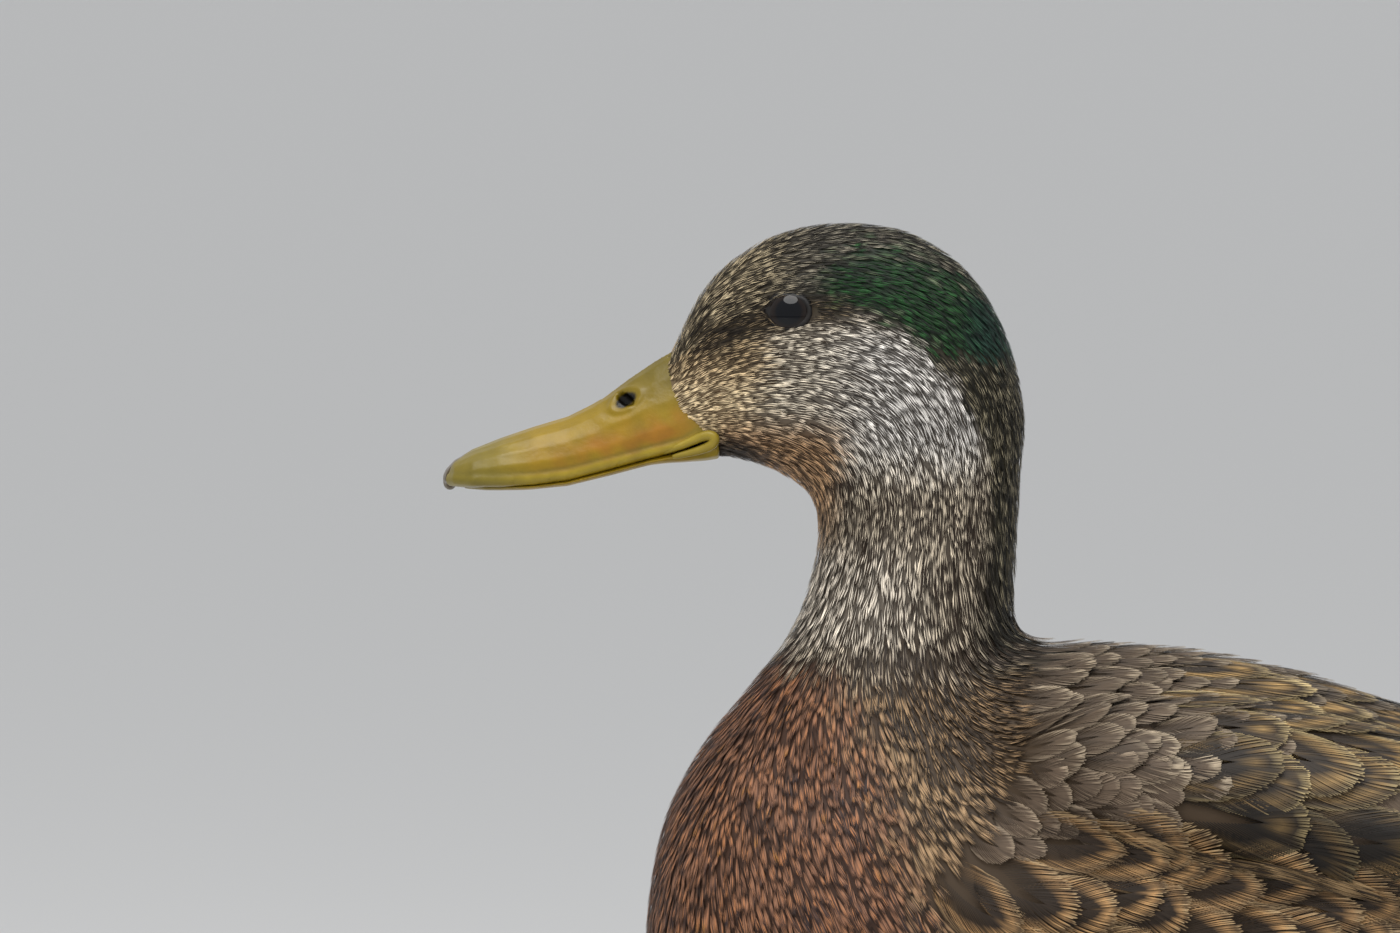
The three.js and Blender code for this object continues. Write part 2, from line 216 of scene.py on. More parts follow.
def vertices_of(mesh):
    co = np.empty(len(mesh.vertices) * 3, np.float32)
    mesh.vertices.foreach_get("co", co)
    return co.reshape(-1, 3).astype(float) / MM


# ------------------------------------------------------------------ camera, light, floor
FRAME_WIDTH = 291.7  # how much of the bird's plane the picture is wide, mm
CAMERA_AIM = (-18.3, -33.1)  # (back, up) from the eye
CAMERA_RISE = 2.0  # degrees above level
LENS = 600.0
SENSOR = 36.0
SKY, SKY_STRENGTH = (0.86, 0.87, 0.88, 1), 0.85
CHEST = (-0.1, 0, 0.16)  # where the lights aim, in metres
# name: place and size in metres, power in watts, colour, and whether it shows in gloss
LIGHTS = {
    "overhead": ((-0.15, -0.45, 1.9), 1.5, 36, (1, 0.99, 0.97), True),
    "front_fill": ((-1.2, -1.9, 0.9), 1.2, 14, (0.97, 0.98, 1), False),
}
FLOOR_HALF = 60  # metres
FLOOR_GREY = (206, 206, 206)


def make_camera():
    data = bpy.data.cameras.new("camera")
    data.sensor_width = SENSOR
    data.lens = LENS
    data.clip_end = 300
    camera = bpy.data.objects.new("camera", data)
    bpy.context.scene.collection.objects.link(camera)
    target = EYE + (CAMERA_AIM[0], 0, CAMERA_AIM[1])
    distance = FRAME_WIDTH * LENS / SENSOR
    rise = math.radians(CAMERA_RISE)
    camera.location = Vector((target + distance * np.array([0, -math.cos(rise), math.sin(rise)])) * MM)
    camera.rotation_euler = (math.pi / 2 - rise, 0, 0)
    bpy.context.scene.camera = camera


def add_light(name):
    place, size, power, colour, shows_in_gloss = LIGHTS[name]
    data = bpy.data.lights.new(name, "AREA")
    data.shape = "DISK"
    data.size = size
    data.energy = power
    data.color = colour
    light = bpy.data.objects.new(name, data)
    bpy.context.scene.collection.objects.link(light)
    light.location = Vector(place)
    light.visible_glossy = shows_in_gloss
    direction = Vector(CHEST) - Vector(place)
    light.rotation_euler = direction.to_track_quat("-Z", "Y").to_euler()


def make_stage():
    scene = bpy.context.scene
    scene.view_settings.view_transform = "Standard"
    world = bpy.data.worlds.new("studio")
    world.use_nodes = True
    sky = world.node_tree.nodes["Background"].inputs
    sky["Color"].default_value = SKY
    sky["Strength"].default_value = SKY_STRENGTH
    scene.world = world
    for name in LIGHTS:
        add_light(name)
    floor = bpy.data.meshes.new("floor")
    floor_corners = [(x * FLOOR_HALF, y * FLOOR_HALF, 0) for x, y in ((-1, -1), (1, -1), (1, 1), (-1, 1))]
    floor.from_pydata(floor_corners, [], [(0, 1, 2, 3)])
    floor.materials.append(Nodes("floor").finish(Base_Color=tuple(srgb(*FLOOR_GREY)), Roughness=0.9))
    stage = bpy.data.objects.new("floor", floor)
    scene.collection.objects.link(stage)


# ------------------------------------------------------------------ materials


class Nodes:
    """A short way to write a material's node tree."""

    def __init__(self, name):
        self.material = bpy.data.materials.new(name)
        self.material.use_nodes = True
        self.tree = self.material.node_tree
        self.shader = self.tree.nodes["Principled BSDF"]

    def add(self, kind, inputs=None, **settings):
        node = self.tree.nodes.new(kind)
        for key, value in settings.items():
            setattr(node, key, value)
        for key, value in (inputs or {}).items():
            self.put(node, key, value)
        return node

    def put(self, node, key, value):
        """Links a socket, or sets a constant, on a node's input."""
        if isinstance(value, bpy.types.NodeSocket):
            self.tree.links.new(value, node.inputs[key])
        elif hasattr(value, "__len__") and len(value) == 3 and node.inputs[key].type == "RGBA":
            node.inputs[key].default_value = (*value, 1)
        else:
            node.inputs[key].default_value = value

    def split(self, vector):
        return self.add("ShaderNodeSeparateXYZ", {"Vector": vector}).outputs

    def painted(self, layer):
        return self.add("ShaderNodeVertexColor", layer_name=layer).outputs["Color"]

    def math(self, operation, *values):
        return self.add("ShaderNodeMath", dict(enumerate(values)), operation=operation).outputs[0]

    def ramp(self, value, low, high):
        """0 at low and 1 at high, smooth between them."""
        inputs = {"Value": value, "From Min": low, "From Max": high}
        return self.add("ShaderNodeMapRange", inputs, interpolation_type="SMOOTHSTEP").outputs["Result"]

    def noise_1d(self, value, scale, detail=1.0):
        inputs = {"W": value, "Scale": scale, "Detail": detail}
        return self.add("ShaderNodeTexNoise", inputs, noise_dimensions="1D").outputs["Fac"]

    def noise(self, scale, detail):
        """Noise over the object, with this many features to the metre."""
        place = self.add("ShaderNodeTexCoord").outputs["Object"]
        inputs = {"Vector": place, "Scale": scale, "Detail": detail}
        return self.add("ShaderNodeTexNoise", inputs).outputs["Fac"]

    def blend(self, share, a, b):
        return self.add("ShaderNodeMix", {0: share, 6: a, 7: b}, data_type="RGBA").outputs[2]

    def scaled(self, colour, factor):
        inputs = {"Vector": colour, "Scale": factor}
        return self.add("ShaderNodeVectorMath", inputs, operation="SCALE").outputs["Vector"]

    def bump(self, height, strength, distance):
        inputs = {"Strength": strength, "Distance": distance, "Height": height}
        return self.add("ShaderNodeBump", inputs).outputs["Normal"]

    def finish(self, **inputs):
        for key, value in inputs.items():
            self.put(self.shader, key.replace("_", " "), value)
        return self.material


def coat_material(name):
    n = Nodes(name)
    return n.finish(Base_Color=n.painted("tint"), Roughness=0.6, Specular_IOR_Level=0.22)


# ------------------------------------------------------------------ the skin
SKIN_VOXEL = 1.4
SKIN_GROWTH = 0.35  # closes the thin cuts between the CAD nodes before the remesh
BODY_COAT, HEAD_COAT = 2.2, 0.7  # depth of the coat over the skin


def welded(names, grow):
    """Some CAD nodes in one mesh, each grown a little so that they overlap."""
    whole = bmesh.new()
    for name in names:
        part = bmesh.new()
        part.from_mesh(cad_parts[name].data)
        bmesh.ops.remove_doubles(part, verts=part.verts, dist=1e-6)
        part.normal_update()
        for v in part.verts:
            v.co += v.normal * grow * MM
        mesh = bpy.data.meshes.new("part")
        part.to_mesh(mesh)
        whole.from_mesh(mesh)
        part.free()
        bpy.data.meshes.remove(mesh)
    mesh = bpy.data.meshes.new("welded")
    whole.to_mesh(mesh)
    whole.free()
    return mesh


def remeshed(mesh, voxel):
    """A closed even mesh over a joined one, as points in mm and quads."""
    holder = bpy.data.objects.new("holder", mesh)
    bpy.context.scene.collection.objects.link(holder)
    modifier = holder.modifiers.new("remesh", "REMESH")
    modifier.mode = "VOXEL"
    modifier.voxel_size = voxel * MM
    result = bpy.data.meshes.new_from_object(holder.evaluated_get(bpy.context.evaluated_depsgraph_get()))
    points = vertices_of(result)
    quads = np.empty(len(result.polygons) * 4, np.int32)
    result.polygons.foreach_get("vertices", quads)
    bpy.data.objects.remove(holder)
    bpy.data.meshes.remove(result)
    return points, quads.reshape(-1, 4)


def largest_shell(points, quads):
    """The points and faces of the biggest connected shell."""
    label = np.arange(len(points))
    while True:
        low = label[quads].min(1)
        new = label.copy()
        for k in range(4):
            np.minimum.at(new, quads[:, k], low)
        new = new[new]
        if (new == label).all():
            break
        label = new
    keep = label == np.bincount(label).argmax()
    index = np.cumsum(keep) - 1
    return points[keep], index[quads[keep[quads[:, 0]]]]


def edges_of(quads):
    pairs = np.concatenate([quads[:, [k, (k + 1) % 4]] for k in range(4)])
    return np.unique(np.sort(pairs, axis=1), axis=0)


def relaxed(values, edges, rounds, weight=0.5):
    """Values on the points, each moved towards the mean of its neighbours."""
    count = len(values)
    ends = np.concatenate([edges[:, 0], edges[:, 1]])
    others = np.concatenate([edges[:, 1], edges[:, 0]])
    degree = np.bincount(ends, minlength=count)[:, None]
    weight = np.broadcast_to(np.asarray(weight, float).reshape(-1, 1), (count, 1))
    for _ in range(rounds):
        total = np.stack(
            [np.bincount(ends, values[others, k], count) for k in range(values.shape[1])], axis=1
        )
        values = values + weight * (total / degree - values)
    return values


def point_normals(points, quads):
    diagonal_a = points[quads[:, 2]] - points[quads[:, 0]]
    diagonal_b = points[quads[:, 3]] - points[quads[:, 1]]
    face = np.cross(diagonal_a, diagonal_b)
    total = np.stack(
        [sum(np.bincount(quads[:, k], face[:, axis], len(points)) for k in range(4)) for axis in range(3)],
        axis=1,
    )
    return unit(total)


def coat_depth(p):
    """How deep the coat is over the skin at each point, in mm."""
    return mix(BODY_COAT, HEAD_COAT, smoothstep(-12, 25, p[:, 2] - NECK_BASE))


def shoulder_weight(p):
    """Where the crease between the back and the folded wing is softened."""
    at = Place(p)
    along = smoothstep(36, 48, at.back) * (1 - smoothstep(150, 185, at.back))
    return 0.5 * along * smoothstep(-104, -92, at.up)


def tucked(p):
    """The skin's front end drawn in under the bill, and its rear end under the tail's coverts."""
    at = Place(p)
    ahead = 0.5 * smoothstep(0, 4, edge_height(BILL_MARGIN, at.up) - 1.5 - at.back)
    ahead = ahead * smoothstep(-46, -40, at.up)
    core = EYE[2] + np.interp(at.back, [-72, -20], [-35, -21])
    x = p[:, 0] - 0.92 * np.maximum(p[:, 0] - RUMP_END, 0)
    y = p[:, 1] * (1 - ahead)
    return np.column_stack([x, y, mix(p[:, 2], core, ahead)])


class Skin:
    """The skin below the feathers, with the lie of the coat on each of its points."""

    def __init__(self):
        points, quads = remeshed(welded(CORE, SKIN_GROWTH), SKIN_VOXEL)
        points, quads = largest_shell(points, quads)
        edges = edges_of(quads)
        points = relaxed(points, edges, 14)
        points = relaxed(points, edges, 45, shoulder_weight(points))
        normals = relaxed(point_normals(points, quads), edges, 3)
        depth = coat_depth(points) + SKIN_GROWTH
        points = points - unit(normals) * depth[:, None]
        points = tucked(relaxed(points, edges, 3))
        self.points, self.quads = points, quads
        self.normals = point_normals(points, quads)
        self.tree = BVHTree.FromPolygons(points.tolist(), quads.tolist())
        lie = spine.direction(points)
        lie = relaxed(laid_flat(lie, self.normals), edges, LIE_SMOOTHING)
        self.lie = laid_flat(lie, self.normals)


# ------------------------------------------------------------------ the lie of the coat
# From the bill over the head, down the neck, and back along the body to the tail:
# places on the mid-plane, as (back, up) from the eye, in mm.
LIE_PATH = [
    (-30, -16), (-8, -8), (18, -10), (33, -25), (30, -50), (28, -72), (32, -95),
    (42, -118), (66, -136), (105, -145), (160, -147), (230, -147), (300, -147), (355, -148),
]
LIE_SMOOTHING = 30
BODY_LIE = np.array([1.0, 0.0, -0.16])


def rounded_path(points, rounds=3):
    """A polyline with its corners cut, Chaikin's way."""
    points = np.array(points, float)
    for _ in range(rounds):
        near = 0.75 * points[:-1] + 0.25 * points[1:]
        far = 0.25 * points[:-1] + 0.75 * points[1:]
        inner = np.stack([near, far], axis=1).reshape(-1, points.shape[1])
        points = np.concatenate([points[:1], inner, points[-1:]])
    return points


class Spine:
    """The path that the coat follows, and where each point lies along and around it."""

    def __init__(self):
        back_up = rounded_path(LIE_PATH)
        self.points = np.stack(
            [EYE[0] + back_up[:, 0], np.zeros(len(back_up)), EYE[2] + back_up[:, 1]], axis=1
        )
        self.along = unit(np.gradient(self.points, axis=0))
        steps = np.linalg.norm(np.diff(self.points, axis=0), axis=1)
        self.reach = np.concatenate([[0], np.cumsum(steps)])

    def weights(self, p, sharpness):
        gap = ((p[:, None, :] - self.points[None]) ** 2).sum(-1)
        w = (gap + 20.0) ** -sharpness
        return w / w.sum(1, keepdims=True)

    def direction(self, p):
        """The lie; behind the neck it turns back along the body, a little downwards."""
        behind = smoothstep(30, 58, p[:, 0] - EYE[0]) * (1 - smoothstep(-62, -50, p[:, 2] - EYE[2]))
        return unit(mix(unit(self.weights(p, 3) @ self.along), unit(BODY_LIE), behind[:, None]))

    def unwrapped(self, p):
        """Distance along in mm and angle around in radians, 0 underneath, with the seam on the back."""
        w = self.weights(p, 4)
        up = np.cross(unit(w @ self.along), ACROSS)
        offset = p - w @ self.points
        angle = np.arctan2(offset @ ACROSS, -(offset * up).sum(1))
        return w @ self.reach, angle


spine = Spine()


BAKE_MARGIN = 0.02


def bake_places(p):
    """Places from 0 to 1 on the unwrapped skin, stretched to the part of it that these points take."""
    places = np.column_stack(spine.unwrapped(p))
    low, high = places.min(0), places.max(0)
    return BAKE_MARGIN + (1 - 2 * BAKE_MARGIN) * (places - low) / (high - low)


class Field:
    """Distance to the skin and the lie of the coat, on a grid, read between its points."""

    PITCH = 2.2
    BAND = 5  # cells kept on each side of the skin

    def __init__(self, skin):
        margin = self.PITCH * (self.BAND + 2)
        self.low = skin.points.min(0) - margin
        self.shape = np.ceil((skin.points.max(0) + margin - self.low) / self.PITCH).astype(int) + 1
        where = np.argwhere(self.near(skin.points))
        places = self.low + where * self.PITCH
        hits = [skin.tree.find_nearest(Vector(q)) for q in places.tolist()]
        nearest = np.array([h[0] for h in hits])
        facing = np.array([h[1] for h in hits])
        face = np.array([h[2] for h in hits])
        gap = places - nearest
        distance = np.sign((gap * facing).sum(1)) * np.linalg.norm(gap, axis=1)
        lie = skin.lie[skin.quads[face]].mean(1)
        self.grid = np.zeros((*self.shape, 7), np.float32)
        self.grid[tuple(where.T)] = np.column_stack([distance, np.zeros((len(where), 3)), lie])
        for axis, slope in enumerate(np.gradient(self.grid[..., 0], self.PITCH)):
            self.grid[..., 1 + axis] = slope

    def near(self, points):
        """Which cells of the grid are within the band around the points."""
        near = np.zeros(self.shape, bool)
        near[tuple(np.round((points - self.low) / self.PITCH).astype(int).T)] = True
        for _ in range(self.BAND):
            for axis in range(3):
                near = near | np.roll(near, 1, axis) | np.roll(near, -1, axis)
        return near

    def read(self, p):
        """Distance to the skin, the way out from it and the lie of the coat."""
        flat = p.reshape(-1, 3)
        at = np.clip((flat - self.low) / self.PITCH, 0, self.shape - 1.001)
        cell = at.astype(int)
        part = (at - cell).astype(np.float32)
        total = np.zeros((len(flat), 7), np.float32)
        for corner in np.ndindex(2, 2, 2):
            weight = np.ones(len(flat), np.float32)
            for axis, high in enumerate(corner):
                weight = weight * (part[:, axis] if high else 1 - part[:, axis])
            i, j, k = (cell + corner).T
            total += weight[:, None] * self.grid[i, j, k]
        out = unit(total[:, 1:4]).reshape(p.shape)
        lie = total[:, 4:7].reshape(p.shape)
        return total[:, 0].reshape(p.shape[:-1]), out, laid_flat(lie, out)

    def on_skin(self, p):
        """Points moved onto the skin, with the way out there and the lie."""
        distance, out, _ = self.read(p)
        p = p - out * distance[..., None]
        distance, out, lie = self.read(p)
        return p - out * distance[..., None], out, lie


# ------------------------------------------------------------------ where feathers grow


def too_close(point, way, gap, cell, cells):
    """Whether a kept point in this cell or the ones around it is within the gap, squared.

    Steps along the way count for less, by the square of its length.
    """
    x, y, z = cell
    for dx in (-1, 0, 1):
        for dy in (-1, 0, 1):
            for dz in (-1, 0, 1):
                for other in cells.get((x + dx, y + dy, z + dz), ()):
                    a, b, c = other[0] - point[0], other[1] - point[1], other[2] - point[2]
                    along = a * way[0] + b * way[1] + c * way[2]
                    if a * a + b * b + c * c - along * along < gap:
                        return True
    return False


def scattered(skin, keep, spacing, seed, stretch=1.0):
    """Points over the skin where keep is true, spacing apart across the lie and stretched along it."""
    rng = np.random.default_rng(seed)
    a, b, c, d = (skin.points[skin.quads[:, k]] for k in range(4))
    area = np.linalg.norm(np.cross(c - a, d - b), axis=1) / 2
    at = Place((a + b + c + d) / 4)
    wanted = spacing(at)
    chance = np.where(keep(at), area / wanted**2 / stretch, 0)
    face = rng.choice(len(chance), int(chance.sum() * 5), p=chance / chance.sum())
    s, t = rng.random((2, len(face), 1))
    p = mix(mix(a[face], b[face], s), mix(d[face], c[face], s), t)
    gap = wanted[face]
    way = skin.lie[skin.quads[face, 0]] * math.sqrt(1 - 1 / stretch**2)
    cells = {}
    kept = []
    places = np.floor(p / gap.max() / stretch).astype(int).tolist()
    for i, (point, along, near, cell) in enumerate(zip(p.tolist(), way.tolist(), (gap**2).tolist(), places)):
        if not too_close(point, along, near, cell, cells):
            cells.setdefault(tuple(cell), []).append(point)
            kept.append(i)
    return p[kept]


OUTSIDE = 200.0  # farther from the mid-plane than any skin, in mm


def beside(skin, places):
    """Points on the skin seen from the left at (back, up) from the eye, and their mirror images."""
    found = []
    for back, up in places:
        start = Vector((EYE[0] + back, -OUTSIDE, EYE[2] + up))
        hit = skin.tree.ray_cast(start, Vector(ACROSS))[0]
        found.append(hit if hit else Vector((start.x, 0, start.z)))
    return both_sides(np.array(found))


# ------------------------------------------------------------------ shapes of feathers
# Both kinds use the same terms: across runs from -1 to 1, along from 0 at the root to 1.


class Tuft:
    """A feather of slender barbs that leave the shaft and fan out to its rim."""

    ROUND_END = 0.45  # length of its round end, over the feather's
    SHAFT_SHARE = 0.2  # how far out a barb starts, over how far out it ends
    BOW = 0.16  # how far the outermost barbs bow out on their way
    BARB_WIDTH = 1.9  # of all the barbs together, over the feather's half width

    def __init__(self, pairs, slimness, stations, fan=118, lean=0.42, breadth=1.25):
        """slimness is half the width over the length; lean is how far below its end a barb starts."""
        across, along, barb, reach, faces = [], [], [], [], []
        count = 2 * pairs + 1
        middle = 1 - self.ROUND_END
        for i in range(count):
            share = 2 * i / (count - 1) - 1
            turn = share * math.radians(fan)
            end = np.array([math.sin(turn), middle + self.ROUND_END * math.cos(turn)])
            root = np.array([end[0] * self.SHAFT_SHARE, max(end[1] - lean - 0.25 * abs(end[0]), 0)])
            start = len(across)
            for k, r in enumerate(stations):
                bulge = math.sin(math.pi * r)
                spot = mix(root, end, r) + np.array([self.BOW * share * bulge, 0])
                width = breadth * self.BARB_WIDTH / count * (0.75 + 0.35 * bulge)
                for side in (0,) if r == 1 else (-1, 1):
                    across.append(spot[0] + side * width / 2)
                    along.append(spot[1] + side * width * slimness * share)
                    barb.append(i)
                    reach.append(r)
                last = start + 2 * k
                if r == 1:
                    faces.append((last - 2, last - 1, last))
                elif k:
                    faces += [(last - 2, last - 1, last + 1), (last - 2, last + 1, last)]
        self.across, self.along = np.array(across), np.array(along)
        self.barb, self.reach = np.array(barb), np.array(reach)
        self.inside = 1 - np.hypot(self.across, np.maximum(self.along - middle, 0) / self.ROUND_END)
        self.faces = np.array(faces)
        self.barbs = count


class Vane:
    """A firm feather: one grid that fills its outline."""

    NARROWEST = 0.02  # half its width at the very tip

    def __init__(self, columns, rows, shoulder, stem, point):
        """shoulder is where it is widest, stem its width at the root; a point of 2 is a round tip."""
        u = np.linspace(-1, 1, columns + 1)
        u = np.sign(u) * np.abs(u) ** 0.8
        below = np.linspace(0, shoulder, rows // 2, endpoint=False)
        above = shoulder + (1 - shoulder) * np.sin(np.linspace(0, math.pi / 2, rows - rows // 2 + 1))
        t = np.concatenate([below, above])[:, None]
        past = np.clip((t - shoulder) / (1 - shoulder), 0, 1)
        widening = mix(stem, 1, np.sin(math.pi / 2 * np.minimum(t / shoulder, 1)))
        half = np.maximum(widening * (1 - past**point) ** (1 / point), self.NARROWEST)
        across = u * half
        edge = np.abs(across) / widening
        self.across = across.ravel()
        self.along = (t + 0 * across).ravel()
        self.inside = ((1 - (edge**point + past**point) ** (1 / point)) * widening).ravel()
        self.barb = np.zeros(across.size, int)
        self.reach = np.zeros(across.size)
        self.barbs = 1
        corner = (np.arange(len(t) - 1)[:, None] * (columns + 1) + np.arange(columns)).ravel()
        self.faces = np.column_stack([corner, corner + 1, corner + columns + 2, corner + columns + 1])


# ------------------------------------------------------------------ laying feathers


def traced(field, roots, length, turn, stations=6):
    """Centre lines over the skin that follow the lie, turned by an angle, and their sideways lines."""
    turn = turn[:, None]
    p, out, lie = field.on_skin(roots)
    points, sides = [], []
    for _ in range(stations):
        way = lie * np.cos(turn) + np.cross(out, lie) * np.sin(turn)
        points.append(p)
        sides.append(np.cross(out, way))
        p, out, lie = field.on_skin(p + way * (length / (stations - 1))[:, None])
    return np.stack(points, 1), np.stack(sides, 1)


def aimed(field, roots, targets, stations=9):
    """Centre lines over the skin from the roots straight to the targets, and their sideways lines."""
    points, sides = [], []
    for t in np.linspace(0, 1, stations):
        p, out, _ = field.on_skin(mix(roots, targets, t))
        points.append(p)
        sides.append(np.cross(out, laid_flat(unit(targets - roots), out)))
    return np.stack(points, 1), np.stack(sides, 1)


def along_line(values, t):
    """Values on evenly spaced stations, (n, stations, 3), read at t, (n, m)."""
    last = values.shape[1] - 1
    at = np.clip(t, 0, 1) * last
    low = np.minimum(at.astype(int), last - 1)
    part = (at - low)[..., None]
    rows = np.arange(len(values))[:, None]
    return values[rows, low] * (1 - part) + values[rows, low + 1] * part


class Coat:
    """Feathers of one shape along their centre lines, with their size and place on each point."""

    ROOT_RISE = 0.12  # height of a feather's root, as a share of the height of its tip
    CAMBER = 0.22  # how much lower its sides lie than its middle
    BARB_STEP = 0.3  # how far apart in height the barbs' ends may be, in mm
    LOWEST = 0.05  # over the skin, in mm

    def __init__(self, shape, lines, sides, length, width, lift, seed, fray=0.1, field=None):
        """fray is how much shorter than its length a barb may be."""
        rng = np.random.default_rng(seed)
        n = len(lines)
        self.shape = shape
        self.roots = lines[:, 0]
        self.dice = rng.random((n, 4))
        self.barb_dice = rng.random((n, shape.barbs))[:, shape.barb]
        width = width * rng.normal(1, 0.07, n).clip(0.8, 1.2)
        shorten = 1 - fray * self.barb_dice * shape.reach
        stray = rng.normal(0, fray / 5, (n, shape.barbs))[:, shape.barb] * shape.reach
        self.along = shape.along * shorten
        self.across = shape.across * shorten + stray
        self.across_mm = self.across * width[:, None] / 2
        self.along_mm = self.along * length[:, None]
        self.inside_mm = shape.inside * width[:, None] / 2
        side = along_line(sides, self.along)
        spot = along_line(lines, self.along) + side * self.across_mm[..., None]
        if field:
            spot, out, _ = field.on_skin(clear_of_eyes(spot, self.roots))
        else:
            out = np.cross(unit(np.gradient(lines, axis=1)), sides)
            out = along_line(out, self.along)
        self.points = spot + out * self.rise(lift)[..., None]

    def rise(self, lift):
        """Height over the skin, from the height of each feather's tip."""
        rise = self.ROOT_RISE + (1 - self.ROOT_RISE) * self.along**1.2
        rise = rise * (1 - self.CAMBER * self.shape.across**2) * lift[:, None]
        rise = rise * mix(0.85, 1.15, self.dice[:, :1])
        rise = rise + self.BARB_STEP * (self.barb_dice - 0.5) * self.shape.reach
        return np.maximum(rise, self.LOWEST)

    def only(self, kept):
        """The same coat with only some of its feathers."""
        part = copy.copy(self)
        for key, value in vars(self).items():
            if isinstance(value, np.ndarray):
                setattr(part, key, value[kept])
        return part

    def mesh(self, name, patch):
        """All the feathers in one mesh, each a small patch of the bake map at its root's place."""
        n, count = self.points.shape[:2]
        faces = self.shape.faces[None] + (np.arange(n) * count)[:, None, None]
        mesh = new_mesh(name, self.points.reshape(-1, 3), faces.reshape(-1, self.shape.faces.shape[1]))
        spread = np.stack([self.across / 2, self.along - 0.5], axis=-1)
        uv = bake_places(self.roots)[:, None] + patch * spread
        bake_map(mesh, uv.reshape(-1, 2))
        return mesh


# ------------------------------------------------------------------ markings
# Places are (back, up) from the eye in mm, as seen from the side.
CAP_EDGE = [
    (-30, -15), (-22, -10), (-12, -6.6), (-5, -4), (5, -1), (17, -2), (25, -5.6), (32.5, -12.6),
    (37.5, -19.6), (41.5, -26), (44, -60),
]
GREEN_LOW = [(3, 3), (12, 0.8), (20, -1.5), (27.5, -6.7), (36.5, -8.5), (44, -8)]
GREEN_HIGH = [(3, 7), (12, 13), (22, 13), (32, 9.5), (40, 4), (44, 0)]


def area(back=(), up=()):
    """A marking with straight edges, each a step from nothing to full in back or up."""
    def share(at):
        steps = [smoothstep(*edge, at.back) for edge in back] + [smoothstep(*edge, at.up) for edge in up]
        return math.prod(steps, start=np.ones(len(at.p)))
    return share


everywhere = area()
cheeks = area(up=[(-38, -26), (2, -10)])
silver_cheek = area(back=[(-2, 20), (42, 38)], up=[(-37, -23), (5, -9)])
tan_face = area(back=[(-2, -14)], up=[(-32, -24), (-2, -10)])
lores = area(back=[(-3, -11)], up=[(-19, -11), (4, -4)])
throat = area(back=[(13, 5), (-19, -13)], up=[(-52, -44), (-20, -28)])
chin = area(back=[(-33, -27), (-5, -11)], up=[(-52, -48), (-25.5, -29.5)])
pale_foreneck = area(back=[(34, 18)], up=[(-72, -62), (-43, -53)])
neck_ring = area(back=[(8, 22)], up=[(-74, -70), (-66, -70)])
body_side = area(up=[(-70, -78)])
rear_flank = area(back=[(95, 125)], up=[(-183, -167), (-104, -120)])
rump = area(back=[(170, 200)], up=[(-150, -140)])
vent = area(back=[(215, 245)], up=[(-138, -150)])


def cap(at):
    return at.above(CAP_EDGE, 1.6) * smoothstep(-75, -60, at.up)


def forehead(at):
    return cap(at) * (1 - smoothstep(-10, 4, at.back))


def nape(at):
    return cap(at) * smoothstep(24, 32, at.back) * (1 - smoothstep(-12, -4, at.up))


def green_patch(at):
    behind = smoothstep(1, 9, at.back + ripple(at.p, 6, 7))
    return behind * at.above(GREEN_LOW, 1.8) * (1 - at.above(GREEN_HIGH, 3.0))


def teal_nape(at):
    return green_patch(at) * smoothstep(32, 40, at.back)


def eye_line(at):
    over = at.up - np.interp(at.back, [-22, -6, 0, 14], [-9, -2.5, -0.5, 0.5])
    along = smoothstep(-23, -17, at.back) * smoothstep(14, 8, at.back)
    return along * smoothstep(-4.0, -0.8, over) * smoothstep(4.4, 1.2, over)


def hindneck(at):
    line = np.interp(at.up, [-95, -75, -60, -35, -14], [36, 38, 41, 43.5, 43])
    height = smoothstep(-100, -80, at.up) * (1 - smoothstep(-18, -10, at.up))
    return height * smoothstep(-4, 2, at.back - line)


def rufous_breast(at):
    top = np.interp(at.back, [-20, 0, 16, 30], [-71, -71, -75, -95])
    rear = np.interp(at.up, [-190, -140, -113, -94, -82, -72], [30, 36, 25, 20, 15, 12])
    ragged = 3 * ripple(at.p, 9, 11)
    below = 1 - smoothstep(-2.5, 1.5, at.up - top + 0.4 * ragged)
    return below * (1 - smoothstep(-9, 7, at.back - rear + ragged))


def low_breast(at):
    return rufous_breast(at) * (1 - smoothstep(-165, -125, at.up))


def belly(at):
    return 1 - smoothstep(-200, -172, at.up + 0.35 * (70 - at.side))


